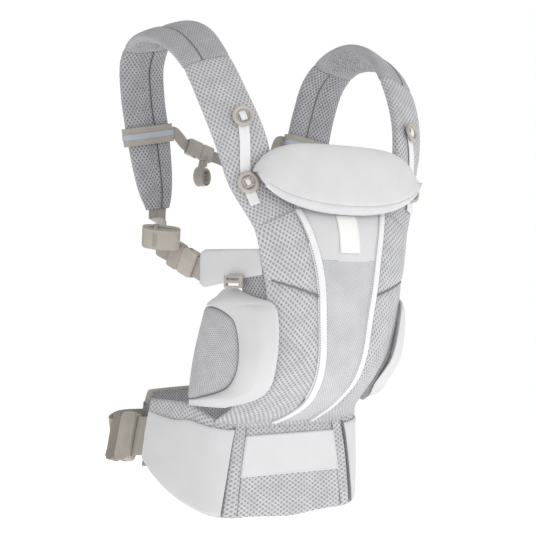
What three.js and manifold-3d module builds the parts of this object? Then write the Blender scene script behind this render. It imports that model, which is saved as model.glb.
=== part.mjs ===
// Soft baby carrier: waist belt, curved body panel, two padded shoulder straps, chest strap and head support.
// Millimetres. +X is the wearer's left, -Y is the front (the side away from the wearer), +Z is up.
// The origin is on the wearer's body axis, level with the lower edge of the waist belt.
import * as THREE from "three";
import { mergeVertices } from "three/addons/utils/BufferGeometryUtils.js";
import Module from "manifold-3d";

const wasm = await Module();
wasm.setup();

// ---------------------------------------------------------------- driving dimensions
const GAP = 0.6; // clearance between neighbouring soft pieces

// Waist belt
const BELT_THICK = 12;
const BELT_SKIN = 2.2; // wall of the belt's fabric tube round its foam
const BELT_FRONT_Y = -86; // centre plane of the flat front of the belt
const BELT_FLAT_HALF = 80; // half width of the flat front
const WING_FLARE = 0.2; // how far the wing's end leans out at its foot, per millimetre of height
const WING_SPLIT = 0.44; // share of the half belt that is front section, the rest is wing
const FACE_THICK = 1.4; // smooth outer fabric on each wing
const PATCH_THICK = 1.3;
const PATCH_TOP_HALF = 62;
const PATCH_BOTTOM_HALF = 70;
const PATCH_BOTTOM = 51;
const PATCH_TOP = 99;
const LUMBAR_THICK = 12;
const LUMBAR_LOW = 58;
const LUMBAR_HIGH = 144;

// Waist webbing and its buckle
const WAIST_WEB = 48;
const WEB_THICK = 1.8;
const WAIST_WEB_Z = 92;
const WAIST_BUCKLE_W = 60;
const WAIST_BUCKLE_T = 13;
const WAIST_FEMALE_L = 26;
const WAIST_MALE_L = 16;

// Body panel
const PANEL_THICK = 5;
const RAIL_W = 9;
const RAIL_T = 4;
const RAIL_EDGE = 0.2; // how far the rail's thin edges stand in front of the panel's surface
const CENTRE_SPLIT_Z = 298; // smooth upper centre panel above, stretch mesh below
const PANEL_TOP_Z = 408;
const SIDE_TOP_Z = 334; // the shoulder strap starts here, at the outer edge
const SIDE_TOP_SLANT = 20; // and this much higher at the rail
const LABEL_W = 27;
const LABEL_H = 42;
const LABEL_Z = 328;

// Head support
const HEAD_HALF = 112;
const HEAD_LOW = 350;
const HEAD_HIGH = 426;
const HEAD_LEAN = 10; // how much further back its lower edge lies than its upper edge
const HEAD_SKIN = 0.5; // least thickness of the face and the lining, at the cushion's edge

// Shoulder straps
const STRAP_T = 15;
const STRAP_SKIN = 2;
const STRAP_CORE_GAP = 1.6;
const STRAP_W_FRONT = 56;
const STRAP_W_TOP = 60;
const STRAP_W_BACK = 61;
const STRAP_TIP_W = 34;
const STRAP_SEAM_FRONT = 0.345; // cross seams, as shares of the strap's length
const STRAP_SEAM_BACK = 0.63;

// Narrow strips and their buttons on the shoulder straps
const STRIP_W = 12;
const STRIP_T = 1.2;
const STRIP_CLEAR = 1; // between the strap and the strip
const BUTTON_D = 24;
const BUTTON_T = 4.5;
const STRIP_HIGH = 0.215; // where on the strap the strip starts
const STRIP_LOW = 0.035;
const BUTTON_HIGH = 0.2;
const BUTTON_LOW = 0.078;
const STRIP_SIDE_LOW = 9; // toward the outer edge of the strap, at the sliding button
const STRIP_SIDE_HIGH = -9; // toward the neck, at the fixed button

// Side webbing and buckles
const SIDE_WEB = 25;
const SIDE_BUCKLE_W = 31;
const SIDE_BUCKLE_T = 9;
const SIDE_FEMALE_L = 22;
const SIDE_MALE_L = 18;
const ROLL_W = 46;
const ROLL_H = 27;
const ROLL_T = 15;
const FLAP_T = 4;

// Leg pads
const LEG_RIM_T = 14;
const LEG_MESH_T = 8;
const CLIP_W = 28;
const CLIP_H = 14;
const CLIP_T = 4;

// Chest strap
const CHEST_AT = 0.832; // where the bands sit, as a share of the strap's length
const BAND_H = 22;
const BAND_T = 2;
const BAND_CLEAR = 2.4;
const CHEST_WEB = 16;
const CHEST_BUCKLE_W = 20;
const CHEST_BUCKLE_T = 8;
const CHEST_FEMALE_L = 20;
const CHEST_MALE_L = 17;
const CHEST_DROP = 15; // how far the buckle hangs below the bands
const TAIL_W = 18; // the spare webbing's coil: width, height, and thickness of its turns
const TAIL_H = 26;
const TAIL_WALL = 3.5;

// ---------------------------------------------------------------- small geometry tools
const V = (x, y, z) => new THREE.Vector3(x, y, z);
const mix = (a, b, t) => a + (b - a) * t;
const clamp01 = (t) => Math.min(1, Math.max(0, t));
const smooth = (t) => clamp01(t) ** 2 * (3 - 2 * clamp01(t));

// A closed geometry from triangles of points, turned so that its faces point outwards.
function solid(triangles) {
  let volume = 0;
  for (const [a, b, c] of triangles) volume += a.dot(b.clone().cross(c));
  const points = triangles.flatMap(([a, b, c]) => (volume < 0 ? [a, c, b] : [a, b, c]));
  return new THREE.BufferGeometry().setFromPoints(points);
}

// Two triangles for each cell between two rows of points; closed joins each row's end to its start.
function strip(rowA, rowB, closed) {
  const out = [];
  const last = closed ? rowA.length : rowA.length - 1;
  for (let i = 0; i < last; i++) {
    const j = (i + 1) % rowA.length;
    out.push([rowA[i], rowA[j], rowB[j]], [rowA[i], rowB[j], rowB[i]]);
  }
  return out;
}

// A fan over a closed ring of points, from its centre.
function cap(ring, flip) {
  const centre = ring.reduce((s, p) => s.add(p), V(0, 0, 0)).divideScalar(ring.length);
  return ring.map((p, i) => {
    const q = ring[(i + 1) % ring.length];
    return flip ? [centre, q, p] : [centre, p, q];
  });
}

// A solid swept through a list of rings, with both ends closed.
function swept(rings) {
  const out = [...cap(rings[0], true), ...cap(rings[rings.length - 1], false)];
  for (let i = 0; i + 1 < rings.length; i++) out.push(...strip(rings[i], rings[i + 1], true));
  return solid(out);
}

// A tube open at both ends, between outer rings and inner rings.
function tube(outer, inner) {
  const out = [];
  for (let i = 0; i + 1 < outer.length; i++) {
    out.push(...strip(outer[i], outer[i + 1], true));
    out.push(...strip(inner[i + 1], inner[i], true));
  }
  out.push(...strip(inner[0], outer[0], true));
  out.push(...strip(outer[outer.length - 1], inner[inner.length - 1], true));
  return solid(out);
}

// A slab between two surfaces front(u, v) and back(u, v), u and v running from 0 to 1.
function slab(nu, nv, front, back) {
  const rows = (f) =>
    Array.from({ length: nv + 1 }, (_, j) =>
      Array.from({ length: nu + 1 }, (_, i) => f(i / nu, j / nv)),
    );
  const a = rows(front);
  const b = rows(back);
  const out = [];
  for (let j = 0; j < nv; j++) {
    out.push(...strip(a[j], a[j + 1], false));
    out.push(...strip(b[j + 1], b[j], false));
    out.push(...strip([a[j][0], a[j + 1][0]], [b[j][0], b[j + 1][0]], false));
    out.push(...strip([a[j + 1][nu], a[j][nu]], [b[j + 1][nu], b[j][nu]], false));
  }
  out.push(...strip(b[0], a[0], false));
  out.push(...strip(a[nv], b[nv], false));
  return solid(out);
}

const mirrored = (geometry) => {
  const g = geometry.clone().applyMatrix4(new THREE.Matrix4().makeScale(-1, 1, 1));
  const p = g.getAttribute("position");
  const points = [];
  for (let i = 0; i < p.count; i += 3)
    for (const k of [i, i + 2, i + 1]) points.push(V(p.getX(k), p.getY(k), p.getZ(k)));
  return new THREE.BufferGeometry().setFromPoints(points);
};

// The frame whose X is along, Z is face (made square to along) and whose origin is at.
function frameAt(at, along, face) {
  const x = along.clone().normalize();
  const z = face.clone().addScaledVector(x, -face.dot(x)).normalize();
  const y = z.clone().cross(x);
  return new THREE.Matrix4().makeBasis(x, y, z).setPosition(at);
}

// Geometry to a manifold-3d solid, for cutting and joining, and back again.
function toManifold(geometry) {
  const g = geometry.index ? geometry.toNonIndexed() : geometry.clone();
  g.deleteAttribute("normal");
  g.deleteAttribute("uv");
  const m = mergeVertices(g, 1e-4);
  return new wasm.Manifold(
    new wasm.Mesh({
      numProp: 3,
      vertProperties: m.attributes.position.array,
      triVerts: new Uint32Array(m.index.array),
    }),
  );
}
function fromManifold(manifold) {
  const m = manifold.getMesh();
  const g = new THREE.BufferGeometry();
  g.setAttribute("position", new THREE.BufferAttribute(m.vertProperties.slice(), 3));
  g.setIndex(new THREE.BufferAttribute(m.triVerts.slice(), 1));
  return g.toNonIndexed();
}

// A plate with rounded corners: length along X from x0, width along Y, thickness along Z, both centred.
function plate(x0, length, width, thick, corner) {
  const s = new THREE.Shape();
  const x1 = x0 + length;
  const h = width / 2;
  s.moveTo(x0 + corner, -h);
  s.lineTo(x1 - corner, -h);
  s.quadraticCurveTo(x1, -h, x1, -h + corner);
  s.lineTo(x1, h - corner);
  s.quadraticCurveTo(x1, h, x1 - corner, h);
  s.lineTo(x0 + corner, h);
  s.quadraticCurveTo(x0, h, x0, h - corner);
  s.lineTo(x0, -h + corner);
  s.quadraticCurveTo(x0, -h, x0 + corner, -h);
  const g = new THREE.ExtrudeGeometry(s, { depth: thick, bevelEnabled: false, curveSegments: 2 });
  return g.translate(0, 0, -thick / 2);
}
const block = (x0, length, width, thick, y = 0, z = 0) =>
  new THREE.BoxGeometry(length, width, thick).translate(x0 + length / 2, y, z);

// ------------------------------------------------ buckles, made along +X from the webbing side
const BUCKLE_WALL = 1.8;
const BUCKLE_FIT = 0.5;
const BUCKLE_BACK = 9; // solid length behind the socket's mouth
const SLIT = 4; // height of the slit the webbing passes through
const WEB_IN = 3; // how far the webbing reaches into a plug half

// The socket half: a hollow body open toward +X, with side windows,
// and a slit right through for its webbing.
function socketHalf(length, width, thick, web) {
  const depth = length - BUCKLE_BACK;
  const mouth = block(length - depth, depth + 1, width - 2 * BUCKLE_WALL, thick - 2 * BUCKLE_WALL);
  const window = block(length - depth + 2, depth * 0.45, width + 2, thick - 2 * BUCKLE_WALL);
  const slot = block(-1, BUCKLE_BACK + 2, web + 1, SLIT);
  const body = toManifold(plate(0, length, width, thick, width * 0.12));
  return fromManifold(
    body.subtract(toManifold(mouth)).subtract(toManifold(window)).subtract(toManifold(slot)),
  );
}

// The plug half's base and centre tongue: base from 0 to length, tongue toward -X.
function plugBase(length, width, thick, web, reach) {
  const base = toManifold(plate(GAP, length - GAP, width, thick, width * 0.1));
  const slot = block(2, length, web + 1, SLIT);
  const inner = thick - 2 * BUCKLE_WALL - 2 * BUCKLE_FIT;
  const tongue = block(-reach, reach + 2, width * 0.22, inner);
  return base.subtract(toManifold(slot)).add(toManifold(tongue));
}

// One springy arm of the plug half, on the side given by sign, reaching toward -X.
function plugArm(width, thick, reach, sign, root) {
  const inner = thick - 2 * BUCKLE_WALL - 2 * BUCKLE_FIT;
  const outerY = width / 2 - BUCKLE_WALL - BUCKLE_FIT;
  const stem = block(-reach, reach + root, 2.2, inner, sign * (outerY - 2.6));
  const head = block(-reach, reach * 0.36, 3.4, inner, sign * (outerY - 1.7));
  return toManifold(stem).add(toManifold(head));
}

// ---------------------------------------------------------------- the group
const group = new THREE.Group();
function add(name, geometry, colour, roughness = 0.9, metalness = 0) {
  const material = new THREE.MeshStandardMaterial({ color: colour, roughness, metalness });
  const mesh = new THREE.Mesh(geometry, material);
  mesh.name = name;
  group.add(mesh);
}
// Adds a piece made for the +X side, and its mirror image on the -X side.
function addPair(name, geometry, ...rest) {
  add(name + "_left", geometry, ...rest);
  add(name + "_right", mirrored(geometry), ...rest);
}

const MESH = "#c4c4c6";
const MESH_DARK = "#9b9a9c";
const SMOOTH = "#e2e2e4";
const RAIL = "#ececee";
const FOAM = "#f3efe2";
const WEBBING = "#a8a49d";
const PLASTIC = "#a9a29b";
const BUTTON = "#d9d3cd";

// ---------------------------------------------------------------- waist belt
// Half of the belt's centre line in plan, from the front middle to the end of the wing.
const beltHalf = new THREE.CatmullRomCurve3(
  [
    V(0, BELT_FRONT_Y, 0),
    V(BELT_FLAT_HALF / 2, BELT_FRONT_Y, 0),
    V(BELT_FLAT_HALF - 8, BELT_FRONT_Y, 0),
    V(BELT_FLAT_HALF, BELT_FRONT_Y, 0),
    V(98, -77, 0),
    V(108, -55, 0),
    V(119, -17, 0),
    V(130, 22, 0),
  ],
  false,
  "centripetal",
);
// Lower and upper edge of the belt, by share of the half belt's length.
const beltLow = (t) => 4 * smooth(t / 0.3) + 62 * Math.pow(clamp01((t - 0.3) / 0.7), 2.2);
const beltHigh = (t) => mix(111, 136, smooth((t - 0.34) / 0.34));
// How far the belt leans out at its foot, per millimetre of height: none in front, most at the end.
const beltFlare = (t) => WING_FLARE * smooth((t - 0.5) / 0.5);

function beltFrame(t) {
  const side = t < 0 ? -1 : 1;
  const p = beltHalf.getPointAt(Math.abs(t));
  const tan = beltHalf.getTangentAt(Math.abs(t));
  return { p: V(side * p.x, p.y, 0), n: V(side * tan.y, -tan.x, 0), t: Math.abs(t) };
}

// A rounded section of the belt at share t, shrunk by inset on every side.
function beltRing(t, inset) {
  const { p, n } = beltFrame(t);
  const half = BELT_THICK / 2 - inset;
  const low = beltLow(Math.abs(t)) + inset;
  const high = beltHigh(Math.abs(t)) - inset;
  const r = Math.min(half, 4) * 0.8;
  const outline = [
    [-half + r, low],
    [half - r, low],
    [half, low + r],
    [half, high - r],
    [half - r, high],
    [-half + r, high],
    [-half, high - r],
    [-half, low + r],
  ];
  const lean = beltFlare(Math.abs(t));
  return outline.map(([d, z]) =>
    p
      .clone()
      .addScaledVector(n, d + lean * (WAIST_WEB_Z - z))
      .setZ(z),
  );
}
const span = (from, to, steps) =>
  Array.from({ length: steps + 1 }, (_, i) => mix(from, to, i / steps));

{
  const shares = span(-WING_SPLIT, WING_SPLIT, 14);
  add(
    "belt_front",
    tube(
      shares.map((t) => beltRing(t, 0)),
      shares.map((t) => beltRing(t, BELT_SKIN)),
    ),
    MESH,
  );
  add("belt_front_foam", swept(shares.map((t) => beltRing(t, BELT_SKIN + GAP))), FOAM);
}
const wingShares = span(WING_SPLIT + 0.006, 1, 10);
addPair("wing", swept(wingShares.map((t) => beltRing(t, 0))), MESH);

// Smooth fabric on the outside of each wing, leaving a band of mesh above it.
const wingFace = (offset) => (u, v) => {
  const t = mix(WING_SPLIT + 0.012, 0.985, u);
  const { p, n } = beltFrame(t);
  const low = beltLow(t) + 5;
  const high = beltHigh(t) - 5 - 9 * smooth(u * 1.5);
  const z = mix(low, high, v);
  return p
    .clone()
    .addScaledVector(n, BELT_THICK / 2 + offset + beltFlare(t) * (WAIST_WEB_Z - z))
    .setZ(z);
};
addPair("wing_face", slab(10, 2, wingFace(0.4 + FACE_THICK), wingFace(0.4)), SMOOTH);

// The loop-fastener patch on the flat front.
{
  const s = new THREE.Shape();
  s.moveTo(-PATCH_BOTTOM_HALF, PATCH_BOTTOM);
  s.lineTo(PATCH_BOTTOM_HALF, PATCH_BOTTOM);
  s.lineTo(PATCH_TOP_HALF, PATCH_TOP);
  s.lineTo(-PATCH_TOP_HALF, PATCH_TOP);
  s.closePath();
  const g = new THREE.ExtrudeGeometry(s, { depth: PATCH_THICK, bevelEnabled: false });
  g.rotateX(Math.PI / 2);
  g.translate(0, BELT_FRONT_Y - BELT_THICK / 2 - 0.4, 0);
  add("front_patch", g, RAIL);
}

// Lumbar pad across the wearer's back.
const lumbarLine = new THREE.CatmullRomCurve3([
  V(-120, 50, 0),
  V(-92, 66, 0),
  V(-46, 86, 0),
  V(0, 93, 0),
  V(46, 86, 0),
  V(92, 66, 0),
  V(120, 50, 0),
]);
function lumbarRing(t) {
  const p = lumbarLine.getPointAt(t);
  const tan = lumbarLine.getTangentAt(t);
  const n = V(-tan.y, tan.x, 0);
  const end = 1 - Math.abs(2 * t - 1);
  const trim = 14 * (1 - smooth(end / 0.12));
  const half = (LUMBAR_THICK / 2) * mix(0.6, 1, smooth(end / 0.08));
  const low = LUMBAR_LOW + trim;
  const high = LUMBAR_HIGH - trim;
  const r = half * 0.8;
  const outline = [
    [-half + r, low],
    [half - r, low],
    [half, low + r],
    [half, high - r],
    [half - r, high],
    [-half + r, high],
    [-half, high - r],
    [-half, low + r],
  ];
  return outline.map(([d, z]) => p.clone().addScaledVector(n, d).setZ(z));
}
add("lumbar_pad", swept(span(0, 1, 18).map(lumbarRing)), MESH_DARK);

// ---------------------------------------------------------------- webbing swept along a curve
// Rings of a flat band: width along side(t), thickness square to it.
function webRings(curve, steps, width, thick, side) {
  return span(0, 1, steps).map((t) => {
    const p = curve.getPointAt(t);
    const tan = curve.getTangentAt(t);
    const s = side(t).clone();
    s.addScaledVector(tan, -s.dot(tan)).normalize();
    const n = s.clone().cross(tan).normalize();
    const at = (a, b) => p.clone().addScaledVector(s, a).addScaledVector(n, b);
    const w = width / 2;
    const h = thick / 2;
    return [at(-w, -h), at(w, -h), at(w, h), at(-w, h)];
  });
}
const UP = V(0, 0, 1);

// The waist buckle lies behind the end of the wearer's right wing, in line with it.
const wingEnd = beltFrame(-1).p.clone().setZ(WAIST_WEB_Z);
const buckleWay = V(-0.27, 0.963, -0.1).normalize();
const buckleFace = V(-0.963, -0.27, 0.34);
const WING_WEB_OUT = 23; // bare webbing between the wing and the buckle
const waistBuckleAt = wingEnd.clone().addScaledVector(buckleWay, WING_WEB_OUT);
buckleFace.addScaledVector(buckleWay, -buckleFace.dot(buckleWay)).normalize();
const buckleUp = buckleWay.clone().cross(buckleFace);

// Webbing out of the right wing, through the adjuster slot of the socket half.
{
  const start = wingEnd.clone().addScaledVector(buckleWay, GAP + 2.8);
  const end = waistBuckleAt.clone().addScaledVector(buckleWay, BUCKLE_BACK / 2);
  const line = new THREE.CatmullRomCurve3([
    start,
    start.clone().lerp(end, 0.4),
    end.clone().addScaledVector(buckleWay, -4),
    end,
  ]);
  add("wing_webbing", swept(webRings(line, 4, WAIST_WEB, WEB_THICK, () => buckleUp)), WEBBING);
}

// Socket half of the waist buckle, plug half and its two springy arms.
const waistReach = WAIST_FEMALE_L - BUCKLE_BACK - 2;
const socketFrame = frameAt(waistBuckleAt, buckleWay, buckleFace);
const plugFrame = frameAt(
  waistBuckleAt.clone().addScaledVector(buckleWay, WAIST_FEMALE_L),
  buckleWay,
  buckleFace,
);
add(
  "waist_buckle_socket",
  socketHalf(WAIST_FEMALE_L, WAIST_BUCKLE_W, WAIST_BUCKLE_T, WAIST_WEB).applyMatrix4(socketFrame),
  PLASTIC,
  0.5,
);
add(
  "waist_buckle_plug",
  fromManifold(
    plugBase(WAIST_MALE_L, WAIST_BUCKLE_W, WAIST_BUCKLE_T, WAIST_WEB, waistReach),
  ).applyMatrix4(plugFrame),
  PLASTIC,
  0.5,
);
for (const [name, sign] of [["low", 1], ["high", -1]])
  add(
    "waist_buckle_arm_" + name,
    fromManifold(
      plugArm(WAIST_BUCKLE_W, WAIST_BUCKLE_T, waistReach, sign, 0),
    ).applyMatrix4(plugFrame),
    PLASTIC,
    0.5,
  );

// Webbing from the plug half, round the back outside the lumbar pad, to the left wing.
{
  const inPlug = WAIST_FEMALE_L + WAIST_MALE_L - WEB_IN;
  const start = waistBuckleAt.clone().addScaledVector(buckleWay, inPlug);
  const out = start.clone().addScaledVector(buckleWay, 8);
  const leftEnd = beltFrame(1).p.clone().setZ(WAIST_WEB_Z);
  const z = WAIST_WEB_Z;
  const line = new THREE.CatmullRomCurve3(
    [
      start,
      out,
      V(-130, 101, z),
      V(-84, 107, z),
      V(0, 106, z),
      V(74, 100, z),
      V(118, 76, z),
      V(136, 50, z),
      leftEnd.clone().add(V(0.3, 1, 0)),
    ],
    false,
    "centripetal",
  );
  const turned = (t) => buckleUp.clone().lerp(UP, smooth((t - 0.06) * 4)).normalize();
  add("waist_webbing", swept(webRings(line, 32, WAIST_WEB, WEB_THICK, turned)), WEBBING);
}

// ---------------------------------------------------------------- body panel
// Profile of the panel from the belt up: height, depth at the middle,
// the rail's x and depth, the edge's x and depth.
const PANEL = [
  { z: 112.5, mid: -95, railX: 27, rail: -95, edgeX: 88, edge: -88 },
  { z: 122, mid: -122, railX: 23, rail: -120, edgeX: 86, edge: -99 },
  { z: 140, mid: -160, railX: 21, rail: -156, edgeX: 86, edge: -116 },
  { z: 165, mid: -187, railX: 25, rail: -184, edgeX: 85, edge: -146 },
  { z: 192, mid: -200, railX: 28, rail: -197, edgeX: 83, edge: -171 },
  { z: 234, mid: -206, railX: 32, rail: -203, edgeX: 84, edge: -186 },
  { z: 270, mid: -210, railX: 36, rail: -207, edgeX: 88, edge: -188 },
  { z: 300, mid: -210, railX: 41, rail: -206, edgeX: 97, edge: -186 },
  { z: 330, mid: -207, railX: 49, rail: -201, edgeX: 105, edge: -182 },
  { z: 350, mid: -200, railX: 56, rail: -194, edgeX: 109, edge: -178 },
  { z: 372, mid: -187, railX: 64, rail: -183, edgeX: 112, edge: -172 },
  { z: 412, mid: -176, railX: 72, rail: -173, edgeX: 114, edge: -165 },
];
const panelCurve = (key) =>
  new THREE.CatmullRomCurve3(
    PANEL.map((s) => V(key === "edge" ? s.edgeX : key === "rail" ? s.railX : 0, s[key], s.z)),
    false,
    "centripetal",
  );
const curves = { mid: panelCurve("mid"), rail: panelCurve("rail"), edge: panelCurve("edge") };
// The three profile curves at profile position k, counted in stations.
const profileAt = (key, k) => curves[key].getPoint(k / (PANEL.length - 1));
// Profile position whose rail point has height z.
function stationOf(z) {
  let low = 0;
  let high = PANEL.length - 1;
  for (let i = 0; i < 30; i++) {
    const k = (low + high) / 2;
    if (profileAt("rail", k).z < z) low = k;
    else high = k;
  }
  return (low + high) / 2;
}

// A point of the panel: k along the profile, side share s (0 middle, 1 rail, 2 edge), depth inward.
function panelPoint(k, s, depth) {
  const mid = profileAt("mid", k);
  const rail = profileAt("rail", k);
  const edge = profileAt("edge", k);
  const a = Math.abs(s);
  const p =
    a <= 1
      ? V(rail.x * a, mix(mid.y, rail.y, a * a), mix(mid.z, rail.z, a * a))
      : V(
          mix(rail.x, edge.x, a - 1),
          mix(rail.y, edge.y, (a - 1) * mix(a - 1, 1, 0.35)),
          mix(rail.z, edge.z, a - 1),
        );
  const step = 0.02;
  const up = profileAt("mid", Math.min(k + step, PANEL.length - 1)).sub(
    profileAt("mid", Math.max(k - step, 0)),
  );
  const inward = V(0, up.z, -up.y).normalize();
  inward.x = -0.3 * clamp01(a / 2);
  inward.normalize();
  p.addScaledVector(inward, depth);
  p.x *= s < 0 ? -1 : 1;
  return p;
}

const railShareInner = (k) => 1 - (RAIL_W / 2 + GAP) / profileAt("rail", k).x;
function railShareOuter(k) {
  const rail = profileAt("rail", k).x;
  return 1 + (RAIL_W / 2 + GAP) / (profileAt("edge", k).x - rail);
}

// Centre panels between the rails.
function centrePanel(lowZ, highZ, steps) {
  const k0 = stationOf(lowZ);
  const k1 = stationOf(highZ);
  const at = (depth) => (u, v) => {
    const k = mix(k0, k1, v);
    return panelPoint(k, (2 * u - 1) * railShareInner(k), depth);
  };
  return slab(6, steps, at(0), at(PANEL_THICK - 1.5));
}
add("panel_mesh", centrePanel(113, CENTRE_SPLIT_Z - GAP, 12), MESH);
add("panel_top", centrePanel(CENTRE_SPLIT_Z + GAP, PANEL_TOP_Z, 6), SMOOTH);

// Side panels from each rail to the outer edge.
{
  const k0 = stationOf(113);
  const at = (depth) => (u, v) => {
    const k = mix(k0, stationOf(mix(SIDE_TOP_Z + SIDE_TOP_SLANT, SIDE_TOP_Z, u)), v);
    return panelPoint(k, mix(railShareOuter(k), 2, u), depth);
  };
  addPair("side_panel", slab(4, 14, at(0), at(PANEL_THICK)), MESH);
}

// Raised rails sewn over the seams between centre and side panels.
{
  const k0 = stationOf(113);
  const k1 = stationOf(SIDE_TOP_Z + SIDE_TOP_SLANT / 2);
  const rings = span(k0, k1, 20).map((k) => {
    const c = panelPoint(k, 1, 0);
    const w = RAIL_W / 2;
    const inward = panelPoint(k, 1, 1).sub(c);
    const side = V(1, 0, 0).addScaledVector(inward, -inward.x).normalize();
    const at = (a, b) => c.clone().addScaledVector(side, a).addScaledVector(inward, b);
    const crown = -RAIL_T / 2;
    return [
      at(-w, -crown),
      at(w, -crown),
      at(w, -RAIL_EDGE),
      at(w / 2, crown),
      at(-w / 2, crown),
      at(-w, -RAIL_EDGE),
    ];
  });
  addPair("rail", swept(rings), RAIL);
}

// Plain sewn label on the upper centre panel.
{
  const k0 = stationOf(LABEL_Z - LABEL_H / 2);
  const k1 = stationOf(LABEL_Z + LABEL_H / 2);
  const at = (depth) => (u, v) => {
    const k = mix(k0, k1, v);
    return panelPoint(k, ((u - 0.5) * LABEL_W) / profileAt("rail", k).x, depth);
  };
  add("label", slab(4, 6, at(-1.2), at(-0.4)), "#f4f4f2");
}

// ---------------------------------------------------------------- shoulder straps
// Centre line of the left strap, from the body panel over the shoulder to the tip at the back.
// turn is how far the strap's width is turned from straight across, and tilt how far its outer edge
// hangs below its neck edge, both in degrees.
const STRAP = [
  { p: V(82, -183, 349), turn: 14, w: 50 },
  { p: V(102, -171, 386), turn: 21, w: 53 },
  { p: V(115, -166, 430), turn: 24, w: STRAP_W_FRONT },
  { p: V(126, -150, 474), turn: 21, w: STRAP_W_FRONT },
  { p: V(133, -124, 518), turn: 15, tilt: 10, w: STRAP_W_FRONT },
  { p: V(138, -92, 549), turn: 8, tilt: 22, w: STRAP_W_TOP },
  { p: V(140, -52, 565), turn: 0, tilt: 23, w: STRAP_W_TOP },
  { p: V(139, -8, 565), turn: -4, tilt: 12, w: STRAP_W_TOP },
  { p: V(135, 27, 543), turn: -7, tilt: 4, w: STRAP_W_BACK },
  { p: V(128, 40, 505), turn: -7, w: STRAP_W_BACK },
  { p: V(119, 44, 460), turn: -7, w: STRAP_W_BACK },
  { p: V(110, 47, 412), turn: -7, w: 54 },
  { p: V(104, 50, 384), turn: -7, w: 44 },
  { p: V(102, 51, 369), turn: -7, w: STRAP_TIP_W },
];
const strapLine = new THREE.CatmullRomCurve3(
  STRAP.map((s) => s.p),
  false,
  "centripetal",
);
const strapLength = strapLine.getLength();
// Share of the length at each station, found once.
const strapShares = STRAP.map((s, i) => {
  const n = 400;
  const until = new THREE.CatmullRomCurve3(
    strapLine.getPoints(n).slice(0, Math.round((i / (STRAP.length - 1)) * n) + 1),
  );
  return i === 0 ? 0 : until.getLength() / strapLength;
});
function strapValue(key, t) {
  let i = 0;
  while (i < STRAP.length - 2 && strapShares[i + 1] < t) i++;
  const f = clamp01((t - strapShares[i]) / (strapShares[i + 1] - strapShares[i]));
  return mix(STRAP[i][key] ?? 0, STRAP[i + 1][key] ?? 0, f);
}

// Frame of the strap at share t: side points outward across it, out away from the wearer.
function strapFrame(t) {
  const p = strapLine.getPointAt(clamp01(t));
  const tan = strapLine.getTangentAt(clamp01(t));
  const turn = THREE.MathUtils.degToRad(strapValue("turn", t));
  const tilt = THREE.MathUtils.degToRad(strapValue("tilt", t));
  const side = V(Math.cos(turn), Math.sin(turn), 0).multiplyScalar(Math.cos(tilt)).setZ(-Math.sin(tilt));
  side.addScaledVector(tan, -side.dot(tan)).normalize();
  const out = side.clone().cross(tan).normalize();
  return { p, tan, side, out };
}
function strapPoint(t, a, b) {
  const { p, side, out } = strapFrame(t);
  return p.addScaledVector(side, a).addScaledVector(out, b);
}

// Section of the strap: a flat oval, grown or shrunk by grow.
const OVAL = [
  [-1, 0],
  [-0.93, -0.62],
  [-0.72, -1],
  [0, -1],
  [0.72, -1],
  [0.93, -0.62],
  [1, 0],
  [0.93, 0.62],
  [0.72, 1],
  [0, 1],
  [-0.72, 1],
  [-0.93, 0.62],
];
function strapRing(t, grow) {
  const tip = smooth((1 - t) / 0.05);
  const w = strapValue("w", t) / 2 + grow;
  const h = (STRAP_T / 2) * mix(0.55, 1, tip) + grow;
  return OVAL.map(([a, b]) => strapPoint(t, a * w, b * h));
}
const STRAP_SEAM_GAP = 0.0012;
for (const [name, from, to, steps, colour] of [
  ["strap_front", 0, STRAP_SEAM_FRONT - STRAP_SEAM_GAP, 9, MESH],
  ["strap_top", STRAP_SEAM_FRONT, STRAP_SEAM_BACK - STRAP_SEAM_GAP, 9, MESH],
  ["strap_back", STRAP_SEAM_BACK, 1, 10, MESH],
]) {
  const shares = span(from, to, steps);
  addPair(
    name,
    tube(
      shares.map((t) => strapRing(t, 0)),
      shares.map((t) => strapRing(t, -STRAP_SKIN)),
    ),
    colour,
  );
}
addPair(
  "strap_foam",
  swept(span(0.01, 0.985, 26).map((t) => strapRing(t, -STRAP_SKIN - STRAP_CORE_GAP))),
  FOAM,
);

// Narrow strip on the outer face of the strap, with a fixed button high and a sliding button low.
const FACE = STRAP_T / 2 + STRIP_CLEAR;
const stripSide = (t) =>
  mix(STRIP_SIDE_LOW, STRIP_SIDE_HIGH, (t - BUTTON_LOW) / (BUTTON_HIGH - BUTTON_LOW));
{
  const rings = span(STRIP_LOW, STRIP_HIGH, 14).map((t) => {
    const w = STRIP_W / 2;
    return [
      strapPoint(t, stripSide(t) - w, FACE),
      strapPoint(t, stripSide(t) + w, FACE),
      strapPoint(t, stripSide(t) + w, FACE + STRIP_T),
      strapPoint(t, stripSide(t) - w, FACE + STRIP_T),
    ];
  });
  addPair("button_strip", swept(rings), RAIL);
}
function button(t, lift, slot) {
  const { tan, out } = strapFrame(t);
  const at = strapPoint(t, stripSide(t), FACE + STRIP_T + lift);
  const disc = new THREE.CylinderGeometry(BUTTON_D / 2 - 1, BUTTON_D / 2, BUTTON_T, 20);
  disc.rotateX(Math.PI / 2).translate(0, 0, BUTTON_T / 2);
  let body = toManifold(disc);
  for (const [x, y, w, h] of slot)
    body = body.subtract(toManifold(block(x - w / 2, w, h, BUTTON_T * 3, y, BUTTON_T / 2)));
  return fromManifold(body).applyMatrix4(frameAt(at, tan, out));
}
addPair("button_high", button(BUTTON_HIGH, 0.8, [[0, 0, 7, 10]]), BUTTON, 0.5);
addPair(
  "button_slider",
  button(BUTTON_LOW, 1.3, [[-4.5, 0, 2.2, 13], [4.5, 0, 2.2, 13]]),
  BUTTON,
  0.5,
);

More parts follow.
